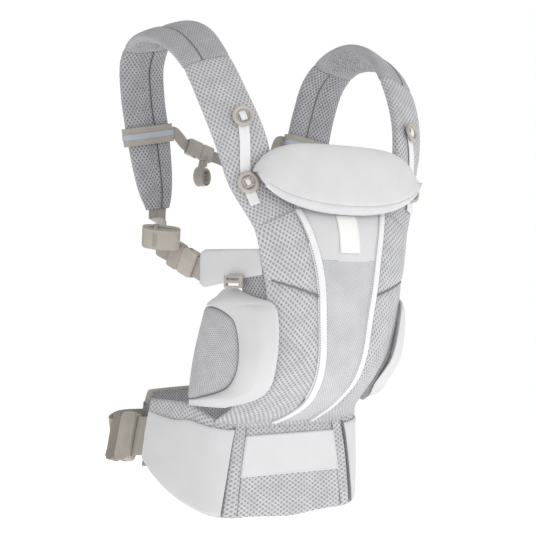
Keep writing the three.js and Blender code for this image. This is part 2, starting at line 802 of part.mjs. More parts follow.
// ---------------------------------------------------------------- head support
// A cushion in front of the panel's top: fabric face, foam, and back lining.
const headTop = (x) => HEAD_HIGH - 20 * Math.pow(Math.abs(x) / HEAD_HALF, 4);
const headLow = (x) => HEAD_LOW + 28 * Math.pow(Math.abs(x) / HEAD_HALF, 2.4);
const headMiddle = (x) => -203.5 + 0.0009 * x * x;
function headThick(x, v) {
  const across = Math.sqrt(Math.max(0, 1 - Math.pow(Math.abs(x) / (HEAD_HALF + 1), 3)));
  const upward = Math.sqrt(Math.max(0, 1 - (2 * v - 1) ** 4));
  return 1.2 + 8 * across * upward;
}
// A point of the cushion: u across and v up, both from 0 to 1, and share of the half thickness
// in front of (below 0) or behind (above 0) its middle surface, plus lift in millimetres.
function headPoint(u, v, share, lift) {
  const x = (2 * u - 1) * HEAD_HALF;
  const z = mix(headLow(x), headTop(x), v);
  return V(x, headMiddle(x) + (v - 0.5) * HEAD_LEAN + share * headThick(x, v) + lift, z);
}
{
  const layer = (nu, nv, front, back, edge) => {
    const at = ([share, lift]) => (u, v) =>
      headPoint(mix(edge, 1 - edge, u), mix(1.5 * edge, 1 - 1.5 * edge, v), share, lift);
    return slab(nu, nv, at(front), at(back));
  };
  add("head_foam", layer(10, 5, [-0.5, 0], [0.5, 0], 0.08), FOAM);
  add("head_face", layer(12, 6, [-1, -HEAD_SKIN], [-0.72, 0], 0), SMOOTH);
  add("head_back", layer(12, 6, [0.72, 0], [1, HEAD_SKIN], 0), MESH_DARK);
}

// ---------------------------------------------------------------- side flaps, buckles and webbing
const flapEnd = V(115, -76, 292);
const sideWay = V(0.296, 0.855, 0.428).normalize();
const sideFace = V(0.93, -0.32, 0.02);
const FLAP_END_H = 33;
const FLAP_ROOT_LOW = 265;
const FLAP_ROOT_HIGH = 311;
{
  const at = (depth) => (u, v) => {
    const root = V(100.5, -178, mix(FLAP_ROOT_LOW, FLAP_ROOT_HIGH, v));
    const end = flapEnd.clone().add(V(0, 0, (v - 0.5) * FLAP_END_H));
    const p = root.lerp(end, u);
    p.x += 4 * Math.sin(Math.PI * u) + depth;
    return p;
  };
  addPair("arm_flap", slab(8, 3, at(0), at(-FLAP_T)), SMOOTH);
}
const socketAt = flapEnd.clone().addScaledVector(sideWay, 6);
const sideSocket = frameAt(socketAt, sideWay, sideFace);
const sidePlugAt = socketAt.clone().addScaledVector(sideWay, SIDE_FEMALE_L);
const sidePlug = frameAt(sidePlugAt, sideWay, sideFace);
const sideReach = SIDE_FEMALE_L - BUCKLE_BACK - 2;
addPair(
  "side_buckle_socket",
  socketHalf(SIDE_FEMALE_L, SIDE_BUCKLE_W, SIDE_BUCKLE_T, SIDE_WEB).applyMatrix4(sideSocket),
  "#d5d3d1",
  0.5,
);
{
  const arms = [-1, 1].map((sign) => plugArm(SIDE_BUCKLE_W, SIDE_BUCKLE_T, sideReach, sign, 2));
  const body = plugBase(SIDE_MALE_L, SIDE_BUCKLE_W, SIDE_BUCKLE_T, SIDE_WEB, sideReach);
  addPair(
    "side_buckle_plug",
    fromManifold(body.add(arms[0]).add(arms[1])).applyMatrix4(sidePlug),
    PLASTIC,
    0.5,
  );
}
// Webbing from the strap's tip down through the plug half.
{
  const start = sidePlugAt.clone().addScaledVector(sideWay, SIDE_MALE_L - WEB_IN);
  const tip = strapPoint(1, 0, 0);
  const line = new THREE.CatmullRomCurve3(
    [
      tip.clone().add(V(0, 0, -1.2)),
      tip.clone().add(V(2, -3, -14)),
      V(113, 15, 341),
      start.clone().addScaledVector(sideWay, 24),
      start.clone().addScaledVector(sideWay, 8),
      start,
    ],
    false,
    "centripetal",
  );
  const { side } = strapFrame(1);
  const upright = V(0, 0, 1).addScaledVector(sideWay, -sideWay.z);
  const turned = (t) => side.clone().lerp(upright, smooth(t * 1.7)).normalize();
  addPair("strap_webbing", swept(webRings(line, 22, SIDE_WEB, WEB_THICK, turned)), WEBBING);
}
// Spare webbing rolled into a flat bundle, held by an elastic.
{
  const along = V(-0.848, -0.53, -0.1);
  const face = V(0.53, -0.848, -0.42);
  const s = new THREE.Shape();
  const w = ROLL_W / 2;
  const h = ROLL_H / 2;
  s.moveTo(-w + 7, -h);
  s.lineTo(w - 10, -h);
  s.quadraticCurveTo(w, -h, w, 0);
  s.quadraticCurveTo(w, h, w - 10, h);
  s.lineTo(-w + 10, h);
  s.quadraticCurveTo(-w, h, -w, 4);
  s.quadraticCurveTo(-w, -h, -w + 7, -h);
  const g = new THREE.ExtrudeGeometry(s, {
    depth: ROLL_T - 4,
    bevelThickness: 2,
    bevelSize: 2,
    bevelOffset: -2,
    bevelSegments: 1,
    curveSegments: 3,
  });
  g.translate(0, 0, -ROLL_T / 2 + 2);
  addPair("webbing_roll", g.applyMatrix4(frameAt(V(150, -49, 328), along, face)), WEBBING);
}

// ---------------------------------------------------------------- leg pads
// The pad's inner face, from its rear edge (s = 0), round the panel's edge, to its fore edge (s = 1).
// Stations by height: the rear edge, a point that pulls the face outward, and the fore edge, in plan.
const LEG = [
  { z: 134, rear: [113, -52], pull: [109, -84], fore: [96, -104] },
  { z: 146, rear: [113, -53], pull: [108, -110], fore: [78, -143] },
  { z: 158, rear: [113, -55], pull: [108, -130], fore: [72, -158] },
  { z: 190, rear: [112, -62], pull: [106, -150], fore: [78, -183] },
  { z: 234, rear: [108, -76], pull: [102, -158], fore: [82, -193] },
  { z: 252, rear: [106, -84], pull: [101, -156], fore: [86, -190] },
  { z: 266, rear: [104, -104], pull: [103, -128], fore: [100, -158] },
];
const legCurve = (key) =>
  new THREE.CatmullRomCurve3(
    LEG.map((s) => V(s[key][0], s[key][1], s.z)),
    false,
    "centripetal",
  );
const legCurves = { rear: legCurve("rear"), pull: legCurve("pull"), fore: legCurve("fore") };
function legPoint(s, v, depth) {
  const [a, b, c] = ["rear", "pull", "fore"].map((key) => legCurves[key].getPoint(v));
  const p = a
    .clone()
    .multiplyScalar((1 - s) ** 2)
    .addScaledVector(b, 2 * s * (1 - s))
    .addScaledVector(c, s * s);
  const along = b
    .clone()
    .sub(a)
    .multiplyScalar(1 - s)
    .addScaledVector(c.clone().sub(b), s);
  const out = V(-along.y, along.x, 0).normalize();
  return p.addScaledVector(out, depth);
}
// Where the mesh inset ends and the smooth rim begins, as a share of the way round.
function legSplit(v) {
  const hump = Math.sin(Math.PI * clamp01((v - 0.1) / 0.78));
  return 0.55 * Math.pow(Math.max(0, hump), 0.6);
}
{
  const puff = (u, v) =>
    Math.pow(Math.max(0, 4 * u * (1 - u)), 0.45) * smooth(v * 6) * smooth((1 - v) * 6);
  const rim = (side) => (u, v) => {
    const s = mix(legSplit(v) + 0.02, 1, u);
    return legPoint(s, v, side * (3 + (LEG_RIM_T - 3) * puff(u, v)));
  };
  addPair("leg_pad_rim", slab(5, 14, rim(1), rim(0)), SMOOTH);
  const inset = (side) => (u, v) => {
    const share = mix(0.13, 0.85, v);
    const s = mix(0, Math.max(0.03, legSplit(share) - 0.02), u);
    return legPoint(s, share, 1 + side * LEG_MESH_T * mix(0.5, 1, smooth(4 * u * (1 - u))));
  };
  addPair("leg_pad_mesh", slab(4, 9, inset(1), inset(0)), MESH);
}
// Ladder-lock clip between the leg pad and the flap above it.
{
  const at = V(111.5, -146, 276);
  const frame = frameAt(at, V(0.17, 0.98, 0.03), V(1, -0.17, 0));
  let body = toManifold(plate(-CLIP_W / 2, CLIP_W, CLIP_H, CLIP_T, 2));
  for (const y of [-3, 3])
    body = body.subtract(toManifold(block(-CLIP_W / 2 + 3.5, CLIP_W - 7, 2.6, CLIP_T * 2, y)));
  addPair("leg_clip", fromManifold(body).applyMatrix4(frame), PLASTIC, 0.5);
}

// ---------------------------------------------------------------- chest strap
// Band round the back part of each strap.
const bandHalfShare = BAND_H / 2 / strapLength;
const bandShares = span(CHEST_AT - bandHalfShare, CHEST_AT + bandHalfShare, 3);
const chestBand = tube(
  bandShares.map((t) => strapRing(t, BAND_CLEAR + BAND_T)),
  bandShares.map((t) => strapRing(t, BAND_CLEAR)),
);
const chestWay = V(0.94, 0, -0.3).normalize();
const chestFace = V(0, -1, 0);
// Where the sewn webbing leaves the left band, in the middle of the band's wall.
const sewnLeft = strapPoint(CHEST_AT, -STRAP_W_BACK / 2 - BAND_CLEAR - BAND_T / 2, 0);
const sewnRight = sewnLeft.clone().multiply(V(-1, 1, 1));
const chestSocketAt = V(-62, sewnLeft.y, sewnLeft.z - CHEST_DROP);
const chestPlugAt = chestSocketAt.clone().addScaledVector(chestWay, CHEST_FEMALE_L);
{
  const socket = frameAt(chestSocketAt, chestWay, chestFace);
  const plug = frameAt(chestPlugAt, chestWay, chestFace);
  const reach = CHEST_FEMALE_L - BUCKLE_BACK - 1;
  add(
    "chest_buckle_socket",
    socketHalf(CHEST_FEMALE_L, CHEST_BUCKLE_W, CHEST_BUCKLE_T, CHEST_WEB - 1).applyMatrix4(socket),
    PLASTIC,
    0.5,
  );
  const arms = [-1, 1].map((sign) => plugArm(CHEST_BUCKLE_W, CHEST_BUCKLE_T, reach, sign, 2));
  const body = plugBase(CHEST_MALE_L, CHEST_BUCKLE_W, CHEST_BUCKLE_T, CHEST_WEB - 1, reach);
  add(
    "chest_buckle_plug",
    fromManifold(body.add(arms[0]).add(arms[1])).applyMatrix4(plug),
    PLASTIC,
    0.5,
  );
  // The right band carries a short sewn webbing that ends in the socket half.
  const inSlot = chestSocketAt.clone().addScaledVector(chestWay, BUCKLE_BACK / 2);
  const short = new THREE.CatmullRomCurve3([
    sewnRight,
    sewnRight.clone().add(V(6, 0, 0)),
    inSlot.clone().addScaledVector(chestWay, -7),
    inSlot,
  ]);
  const webbing = toManifold(swept(webRings(short, 5, CHEST_WEB - 2, 1.6, () => UP)));
  add("chest_band_right", fromManifold(toManifold(mirrored(chestBand)).add(webbing)), WEBBING);
  const from = chestPlugAt.clone().addScaledVector(chestWay, CHEST_MALE_L - WEB_IN);
  const long = new THREE.CatmullRomCurve3(
    [
      from,
      from.clone().addScaledVector(chestWay, 26),
      V(18, 43, from.z - 34),
      V(50, 44, from.z - 28),
      sewnLeft.clone().add(V(-9, 0, 0)),
      sewnLeft,
    ],
    false,
    "centripetal",
  );
  const sewnLong = toManifold(swept(webRings(long, 18, CHEST_WEB - 2, 1.6, () => UP)));
  add("chest_band_left", fromManifold(toManifold(chestBand).add(sewnLong)), WEBBING);
}
// Spare end of the chest webbing, coiled and hanging below the plug half.
{
  const coil = new THREE.Shape();
  coil.absellipse(0, 0, TAIL_W / 2, TAIL_H / 2, 0, Math.PI * 2, false);
  const hole = new THREE.Path();
  hole.absellipse(0, 0, TAIL_W / 2 - TAIL_WALL, TAIL_H / 2 - TAIL_WALL, 0, Math.PI * 2, true);
  coil.holes.push(hole);
  const g = new THREE.ExtrudeGeometry(coil, {
    depth: CHEST_WEB,
    bevelEnabled: false,
    curveSegments: 8,
  });
  g.translate(0, 0, -CHEST_WEB / 2);
  g.rotateX(Math.PI / 2);
  g.rotateZ(-0.35);
  g.translate(chestPlugAt.x + 3, chestPlugAt.y, chestPlugAt.z - 32);
  add("chest_webbing_tail", g, WEBBING);
}

export default group;
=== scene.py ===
# %% [markdown]
# # A soft baby carrier
# The carrier is sewn from two fabrics, an open spacer mesh and a smooth brushed
# cloth, over foam, and closed with moulded buckles on ribbed webbing.
# The imported solids give every piece its place. This lesson makes the surfaces
# that are seen: each is a grid of points worked out with numpy, in millimetres,
# and scaled to metres when it becomes a mesh.

# %% Load the frame: the imported model, its placements baked into its meshes
import math
from functools import partial

import bmesh
import bpy
import numpy as np
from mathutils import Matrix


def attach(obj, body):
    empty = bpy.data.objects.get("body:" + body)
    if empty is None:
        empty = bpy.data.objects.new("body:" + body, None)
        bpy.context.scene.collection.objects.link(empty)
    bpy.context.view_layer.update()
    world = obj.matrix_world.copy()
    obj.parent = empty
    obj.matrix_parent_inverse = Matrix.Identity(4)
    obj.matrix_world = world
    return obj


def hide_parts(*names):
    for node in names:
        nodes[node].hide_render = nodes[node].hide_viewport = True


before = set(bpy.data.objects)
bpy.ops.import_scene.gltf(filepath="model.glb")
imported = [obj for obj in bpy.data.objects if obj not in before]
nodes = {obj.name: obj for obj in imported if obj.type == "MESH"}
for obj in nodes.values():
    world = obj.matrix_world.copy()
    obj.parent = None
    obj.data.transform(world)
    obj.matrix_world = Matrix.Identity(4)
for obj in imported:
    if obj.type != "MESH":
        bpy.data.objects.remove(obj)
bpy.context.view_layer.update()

# %% [markdown]
# ## Camera, floor and light
# The camera stands in front of the carrier and to the wearer's right, level,
# a little below the middle of its height. The floor lies well below, so the
# carrier hangs as if a wearer stood in it. A white world gives shadowless fill.
# One soft lamp behind the camera and one on the wearer's left shade the shapes.

# %% Camera
SENSOR = 36.0  # millimetres
LENS = 1150.0 / 536.0 * SENSOR
SHIFT_RIGHT, SHIFT_UP = 19.0 / 536.0, 32.0 / 536.0  # shares of the frame
VIEW_TURN = math.radians(-32.0)  # from straight in front
DISTANCE = 1.440
CAMERA_HEIGHT = 0.256
CLIP_END = 50.0


def link(item):
    """Puts an object in the scene."""
    bpy.context.scene.collection.objects.link(item)


camera_data = bpy.data.cameras.new("camera")
camera_data.sensor_width = SENSOR
camera_data.lens = LENS
camera_data.shift_x = SHIFT_RIGHT
camera_data.shift_y = SHIFT_UP
camera_data.clip_end = CLIP_END
camera = bpy.data.objects.new("camera", camera_data)
camera.location = (DISTANCE * math.sin(VIEW_TURN), -DISTANCE * math.cos(VIEW_TURN), CAMERA_HEIGHT)
camera.rotation_euler = (math.pi / 2, 0.0, VIEW_TURN)
link(camera)
bpy.context.scene.camera = camera
bpy.context.scene.view_settings.view_transform = "Standard"
print("lens", round(camera_data.lens, 2), "mm")


# %% Lights and floor
AIM = (0.0, 0.0, 0.3)  # the point that both lamps face
FILL = 0.68  # light from all round; the world itself is seen as plain white
FLOOR_HALF, FLOOR_HEIGHT = 9.0, -1.1


def soft_lamp(name, place, size, watts):
    """A square area lamp at place, turned so that its face looks at AIM."""
    data = bpy.data.lights.new(name, "AREA")
    data.size = size
    data.energy = watts
    lamp = bpy.data.objects.new(name, data)
    way = np.array(AIM) - np.array(place)
    yaw = math.atan2(way[1], way[0])
    pitch = math.atan2(way[2], math.hypot(way[0], way[1]))
    lamp.rotation_euler = (math.pi / 2 + pitch, 0.0, yaw - math.pi / 2)
    lamp.location = place
    link(lamp)


soft_lamp("key_lamp", (-0.6, -2.8, 0.9), size=1.6, watts=15.0)
soft_lamp("side_lamp", (2.2, -1.8, 1.2), size=1.4, watts=12.0)

world = bpy.data.worlds.new("studio")
world.use_nodes = True
backing = world.node_tree.nodes["Background"]
seen = world.node_tree.nodes.new("ShaderNodeLightPath").outputs["Is Camera Ray"]
strength = world.node_tree.nodes.new("ShaderNodeMapRange")
strength.inputs["To Min"].default_value = FILL
strength.inputs["To Max"].default_value = 1.0
world.node_tree.links.new(seen, strength.inputs["Value"])
world.node_tree.links.new(strength.outputs[0], backing.inputs["Strength"])
backing.inputs["Color"].default_value = (1.0, 1.0, 1.0, 1.0)
bpy.context.scene.world = world

floor_mesh = bpy.data.meshes.new("floor")
floor_corners = [
    (x * FLOOR_HALF, y * FLOOR_HALF, FLOOR_HEIGHT) for x, y in ((-1, -1), (1, -1), (1, 1), (-1, 1))
]
floor_mesh.from_pydata(floor_corners, [], [(0, 1, 2, 3)])
floor = bpy.data.objects.new("floor", floor_mesh)
link(floor)


# %% [markdown]
# ## Materials
# Every cloth reads its own UV map, whose numbers are millimetres on the cloth,
# so a pattern keeps its real size on every piece. The moulded parts read Object
# coordinates. One function adds any node, and one turns a hex colour to linear.

# %% Colour and node helpers
def linear(hex_colour):
    """sRGB to linear: each channel c becomes ((c + 0.055) / 1.055) to the power 2.4."""
    c = np.array([int(hex_colour[i : i + 2], 16) for i in (1, 3, 5)]) / 255.0
    low = c / 12.92
    high = ((c + 0.055) / 1.055) ** 2.4
    return (*np.where(c <= 0.04045, low, high).tolist(), 1.0)


def node(tree, kind, inputs=None, out=0, **settings):
    """Adds one node and returns its socket out: settings are its properties, inputs are values or
    sockets."""
    made = tree.nodes.new("ShaderNode" + kind)
    for key, value in settings.items():
        setattr(made, key, value)
    for key, value in (inputs or {}).items():
        if isinstance(value, bpy.types.NodeSocket):
            tree.links.new(value, made.inputs[key])
        else:
            made.inputs[key].default_value = value
    return made.outputs[out]


def new_material(name, roughness, sheen=0.0, specular=0.5):
    """An empty Principled material and its node tree."""
    material = bpy.data.materials.new(name)
    material.use_nodes = True
    tree = material.node_tree
    shader = tree.nodes["Principled BSDF"]
    shader.inputs["Roughness"].default_value = roughness
    shader.inputs["Specular IOR Level"].default_value = specular
    shader.inputs["Sheen Weight"].default_value = sheen
    shader.inputs["Sheen Roughness"].default_value = 0.5
    return material, tree, shader


# %% [markdown]
# ### Spacer mesh
# A warp-knitted polyester spacer mesh has two faces held apart by upright
# threads. The outer face is knitted with hexagonal holes in offset rows, through
# which the darker inside shows. The holes are drawn as the nearest of two
# interleaved lattices of cells, one shifted by half a cell each way. Noise at
# the size of a yarn roughens the threads, and noise of a few centimetres gives
# the slow change of shade that handling leaves in a soft cloth.

# %% Spacer mesh material
HOLE_STEP = 5.4  # millimetres from hole to hole along a row
HOLE_ROW = 7.2  # millimetres from a row of holes to the next but one
HOLE_RADIUS = 1.32
MESH_DEPTH = 0.0007  # metres of bump
SEAM_HALF = 0.7  # half the width of a closed seam
SEAM_COLOUR = "#4e4e52"


def spacer_mesh(name, thread, hole, scale=1.0, hole_size=1.0, seam=False):
    """Knitted mesh: the distance to the nearest point of two lattices gives the holes, and noise
    varies the yarn."""
    material, tree, shader = new_material(name, 0.86, sheen=0.12, specular=0.25)
    add = partial(node, tree)
    cloth = add("UVMap", uv_map="cloth")
    wide, high = HOLE_STEP * scale, HOLE_ROW * scale
    cells = add("VectorMath", {0: cloth, 1: (wide, high, 1.0)}, operation="DIVIDE")
    distances = []
    for shift in (0.0, 0.5):
        moved = add("VectorMath", {0: cells, 1: (shift, shift, 0.5)}, operation="ADD")
        share = add("VectorMath", {0: moved}, operation="FRACTION")
        centred = add("VectorMath", {0: share, 1: (0.5, 0.5, 0.5)}, operation="SUBTRACT")
        away = add("VectorMath", {0: centred, 1: (wide, high * 0.86, 0.0)}, operation="MULTIPLY")
        distances.append(add("VectorMath", {0: away}, out="Value", operation="LENGTH"))
    nearest = add("Math", {0: distances[0], 1: distances[1]}, operation="MINIMUM")
    radius = HOLE_RADIUS * scale * hole_size
    threads = add(
        "MapRange", {0: nearest, 1: radius * 0.55, 2: radius * 1.35},
        interpolation_type="SMOOTHSTEP"
    )
    broad = add("TexNoise", {"Vector": cloth, "Scale": 0.055, "Detail": 3.0})
    yarn = add("TexNoise", {"Vector": cloth, "Scale": 1.9, "Detail": 2.0})
    worn = add("MapRange", {0: broad, 1: 0.3, 2: 0.7, 4: 0.3}, interpolation_type="SMOOTHSTEP")
    fuzz = add("MapRange", {0: yarn, 1: 0.35, 2: 0.75, 4: 0.2}, interpolation_type="SMOOTHSTEP")
    shaded = add("Mix", {0: worn, 6: linear(thread), 7: linear(hole)}, out=2, data_type="RGBA")
    yarned = add("Mix", {0: fuzz, 6: shaded, 7: linear(hole)}, out=2, data_type="RGBA")
    colour = add("Mix", {0: threads, 6: linear(hole), 7: yarned}, out=2, data_type="RGBA")
    height = add("Math", {0: yarn, 1: 0.25, 2: threads}, operation="MULTIPLY_ADD")
    if seam:
        split = add("SeparateXYZ", {0: cloth})
        across = add("Math", {0: split}, operation="ABSOLUTE")
        closed = add(
            "MapRange", {0: across, 1: SEAM_HALF * 0.5, 2: SEAM_HALF * 1.6},
            interpolation_type="SMOOTHSTEP"
        )
        valley = add(
            "MapRange", {0: across, 1: 0.3, 2: 2.6, 3: -3.0, 4: 0.0},
            interpolation_type="SMOOTHSTEP"
        )
        colour = add("Mix", {0: closed, 6: linear(SEAM_COLOUR), 7: colour}, out=2, data_type="RGBA")
        height = add("Math", {0: height, 1: valley}, operation="ADD")
    tree.links.new(colour, shader.inputs["Base Color"])
    tree.links.new(
        add("Bump", {"Strength": 0.8, "Distance": MESH_DEPTH, "Height": height}),
        shader.inputs["Normal"]
    )
    return material


mesh_outer = spacer_mesh("spacer_mesh_pearl_grey", "#d2d2d4", "#9a9a9e")
mesh_strap = spacer_mesh("spacer_mesh_strap", "#cfcfd2", "#97979b", scale=0.92)
# The back sleeve's mesh: the strap mesh with darker threads and holes, which are painted shade on
# the back of the strap.
mesh_strap_seamed_shaded = spacer_mesh(
    "spacer_mesh_strap_seamed_painted_shade", "#bababd", "#7c7c82", scale=0.92, seam=True
)
# The fine mesh over the shoulder, darker than mesh_fine: its darker threads and holes are painted
# shade over the shoulder.
mesh_shoulder_shaded = spacer_mesh(
    "spacer_mesh_fine_seamed_painted_shade", "#b9b9bc", "#909094", scale=0.62, hole_size=0.8, seam=True
)
mesh_fine = spacer_mesh("spacer_mesh_fine", "#cdcdcf", "#9c9ca0", scale=0.62, hole_size=0.85)
# The lining mesh's dark threads and holes are painted shade, for the inner faces: the cushion's
# back, the lumbar pad and the corners under the flaps.
mesh_lining_shaded = spacer_mesh("spacer_mesh_lining_painted_shade", "#b4b4b6", "#6f6f74", scale=0.8)
print("mesh materials ready")


# %% [markdown]
# ### Ribbed stretch mesh, brushed cloth, tape and webbing
# The middle of the body panel is a thin stretch mesh with upright ribs. The
# smooth cloth is a brushed polyester twill with a faint slant. Tape and webbing
# are narrow woven goods, whose ribs run across their length.

# %% Woven materials
def woven(
    name, colour, shade, rib_u, rib_v, depth, roughness=0.8, sheen=0.25, slant=0.0, contrast=0.5
):
    """Woven cloth: sine waves of rib_u and rib_v millimetres, multiplied where both are given, and
    slow shade drift."""
    material, tree, shader = new_material(name, roughness, sheen=sheen, specular=0.3)
    add = partial(node, tree)
    cloth = add("UVMap", uv_map="cloth")
    turned = add("Mapping", {"Vector": cloth, "Rotation": (0.0, 0.0, slant)})
    ribs = []
    for way, rib in (("X", rib_u), ("Y", rib_v)):
        if rib:
            part = add("SeparateXYZ", {0: turned}, out=way)
            turns = add("Math", {0: part, 1: 2 * math.pi / rib}, operation="MULTIPLY")
            ribs.append(add("Math", {0: turns}, operation="SINE"))
    wave = ribs[0] if len(ribs) == 1 else add(
        "Math", {0: ribs[0], 1: ribs[1]}, operation="MULTIPLY"
    )
    broad = add("TexNoise", {"Vector": cloth, "Scale": 0.03, "Detail": 4.0})
    fibre = add("TexNoise", {"Vector": cloth, "Scale": 2.4, "Detail": 2.0})
    worn = add("MapRange", {0: broad, 1: 0.3, 2: 0.7, 4: 0.3}, interpolation_type="SMOOTHSTEP")
    low = add("MapRange", {0: wave, 1: 0.2, 2: -1.0, 4: contrast}, interpolation_type="SMOOTHSTEP")
    base = add("Mix", {0: worn, 6: linear(colour), 7: linear(shade)}, out=2, data_type="RGBA")
    ribbed = add("Mix", {0: low, 6: base, 7: linear(shade)}, out=2, data_type="RGBA")
    tree.links.new(ribbed, shader.inputs["Base Color"])
    height = add("Math", {0: fibre, 1: 0.8, 2: wave}, operation="MULTIPLY_ADD")
    tree.links.new(
        add("Bump", {"Strength": 0.6, "Distance": depth, "Height": height}), shader.inputs["Normal"]
    )
    return material


stretch_mesh = woven(
    "stretch_mesh_ribbed", "#d2d2d4", "#a0a0a4", 4.0, 3.0, 0.0004, slant=0.35, contrast=0.9
)
brushed_cloth = woven(
    "brushed_twill_pearl", "#d6d6d7", "#c8c8ca", 1.1, 0.9, 0.00008, slant=0.6, contrast=0.25
)
satin_tape = woven(
    "satin_tape_white", "#ececed", "#dcdcde", 0.0, 1.2, 0.00010, roughness=0.6, contrast=0.3
)
loop_fastener = woven(
    "loop_fastener_white", "#dcdcdd", "#d0d0d2", 1.6, 1.3, 0.00012, roughness=0.95, contrast=0.2
)
taupe_webbing = woven(
    "polyester_webbing_taupe", "#b4aea4", "#938d84", 5.5, 1.5, 0.0004, roughness=0.75, contrast=0.55
)
dark_webbing = woven(
    "polyester_webbing_shaded", "#a29d94", "#7f7a72", 5.5, 1.5, 0.0004, roughness=0.75, contrast=0.6
)
label_weave = woven(
    "damask_label", "#f3f3f1", "#e6e6e4", 0.7, 0.7, 0.00005, roughness=0.55, contrast=0.3
)
stitch_thread = woven(
    "polyester_thread_grey", "#828287", "#6c6c71", 0.0, 0.6, 0.00005, roughness=0.6, contrast=0.4
)
pale_thread = woven(
    "polyester_thread_white", "#e9e9ea", "#cfcfd1", 0.0, 0.6, 0.00005, roughness=0.6, contrast=0.4
)
dark_piping = woven(
    "piping_cord_grey", "#85858a", "#6b6b70", 0.0, 1.4, 0.0002, roughness=0.8, contrast=0.5
)
pale_piping = woven(
    "piping_cord_white", "#e6e6e7", "#cfcfd1", 0.0, 1.4, 0.0002, roughness=0.75, contrast=0.4
)
reflective_tape = woven(
    "glass_bead_tape", "#b4bac1", "#989fa8", 0.8, 0.8, 0.00005, roughness=0.35, sheen=0.0,
    contrast=0.4
)
print("woven materials ready")


# %% [markdown]
# ### Moulded acetal and foam
# The buckles are injection-moulded acetal with a spark-eroded satin finish: the
# eye sees a soft, even gloss with a very fine grain. The foam is open-cell
# polyurethane, cut to shape and never seen from outside.

# %% Moulded and foam materials
def moulded(name, colour, shade, roughness=0.42):
    """Satin plastic: fine grain of 0.4 mm in the bump, and slow drift of the colour."""
    material, tree, shader = new_material(name, roughness, specular=0.5)
    add = partial(node, tree)
    place = add("TexCoord", out="Object")
    drift = add("TexNoise", {"Vector": place, "Scale": 60.0, "Detail": 3.0})
    grain = add("TexNoise", {"Vector": place, "Scale": 2500.0, "Detail": 1.0})
    share = add("MapRange", {0: drift, 1: 0.3, 2: 0.7}, interpolation_type="SMOOTHSTEP")
    mixed = add("Mix", {0: share, 6: linear(colour), 7: linear(shade)}, out=2, data_type="RGBA")
    tree.links.new(mixed, shader.inputs["Base Color"])
    tree.links.new(
        add("Bump", {"Strength": 0.25, "Distance": 0.00005, "Height": grain}),
        shader.inputs["Normal"]
    )
    return material


acetal_taupe = moulded("acetal_taupe_satin", "#aca59d", "#a29b93")
acetal_dark = moulded("acetal_taupe_shaded", "#8f8880", "#857e76")
acetal_pale = moulded("acetal_pale_satin", "#bbb3ac", "#b0a8a1")
foam_cut = moulded("polyurethane_foam", "#efe9d6", "#e2dac2", roughness=0.95)
floor_paint = moulded("studio_floor_paint", "#fbfbfb", "#f8f8f8", roughness=0.9)
floor_shader = floor_paint.node_tree.nodes["Principled BSDF"]
floor_shader.inputs["Emission Color"].default_value = (1.0, 1.0, 1.0, 1.0)
floor_shader.inputs["Emission Strength"].default_value = 0.6
floor.data.materials.append(floor_paint)

for name, item in nodes.items():
    item.data.materials.clear()
    item.data.materials.append(foam_cut if "foam" in name else acetal_taupe)


# %% [markdown]
# ## Tools for surfaces
# A curve is a centripetal Catmull-Rom spline through stations in millimetres. A
# surface is a grid of points, rows along one parameter and columns along the
# other. A pad is two grids, a face and a back, joined round their rim.

# %% Curves
def arc_length(line):
    """Length along a line of points, from its first point to each of them."""
    return np.r_[0, np.cumsum(np.linalg.norm(np.diff(line, axis=0), axis=1))]


def read(where, marks, values):
    """Rows of values, given at marks, read in between at where."""
    return np.stack([np.interp(where, marks, column) for column in values.T], -1)


def spline(stations, fine=60):
    """Centripetal Catmull-Rom curve: returns at(k), k counted in stations, along(share of length),
    and its length."""
    p = np.asarray(stations, float)
    n = len(p)
    ext = np.vstack([2 * p[0] - p[1], p, 2 * p[-1] - p[-2]])
    gap = np.maximum(np.linalg.norm(np.diff(ext, axis=0), axis=1) ** 0.5, 1e-6)[:, None]
    p0, p1, p2, p3 = ext[:-3], ext[1:-2], ext[2:-1], ext[3:]
    d0, d1, d2 = gap[:-2], gap[1:-1], gap[2:]
    t1 = ((p1 - p0) / d0 - (p2 - p0) / (d0 + d1) + (p2 - p1) / d1) * d1
    t2 = ((p2 - p1) / d1 - (p3 - p1) / (d1 + d2) + (p3 - p2) / d2) * d1
    w = (np.arange(fine) / fine)[None, :, None]
    a, b, ta, tb = (x[:, None, :] for x in (p1, p2, t1, t2))
    dense = a * (2 * w**3 - 3 * w**2 + 1) + ta * (w**3 - 2 * w**2 + w)
    dense = dense + b * (3 * w**2 - 2 * w**3) + tb * (w**3 - w**2)
    dense = np.vstack([dense.reshape(-1, p.shape[1]), p[-1:]])
    count = np.linspace(0, n - 1, len(dense))
    arc = arc_length(dense[:, :3])

    def at(k):
        return read(k, count, dense)

    def along(share):
        return read(np.asarray(share) * arc[-1], arc, dense)

    return at, along, arc[-1]


def unit(v):
    """v divided by its length, along the last axis."""
    return v / np.maximum(np.linalg.norm(v, axis=-1, keepdims=True), 1e-12)


def squared(v, way):
    """v less its part along way, at unit length."""
    return unit(v - (v * way).sum(-1, keepdims=True) * way)


def smooth(t):
    """3 t squared minus 2 t cubed, with t kept from 0 to 1."""
    t = np.clip(t, 0.0, 1.0)
    return t * t * (3 - 2 * t)


def mix(a, b, t):
    """a at t = 0, b at t = 1."""
    return a + (b - a) * t


def shares(cols, rows):
    """Shares from 0 to 1: cols of them across, as a row, and rows of them up, as a column."""
    return np.linspace(0, 1, cols)[None, :], np.linspace(0, 1, rows)[:, None]


def waves(u, v, seed, size):
    """Soft uneven folds: a sum of five slanting sine waves about size millimetres long, from -1 to
    1."""
    r = np.random.default_rng(seed)
    total = 0.0
    for _ in range(5):
        angle, phase = r.uniform(0, math.pi), r.uniform(0, 2 * math.pi)
        stretch = r.uniform(0.7, 1.5)
        total = total + np.sin(
            (u * np.cos(angle) + v * np.sin(angle)) * 2 * math.pi / (size * stretch) + phase
        )
    return total / 3.2


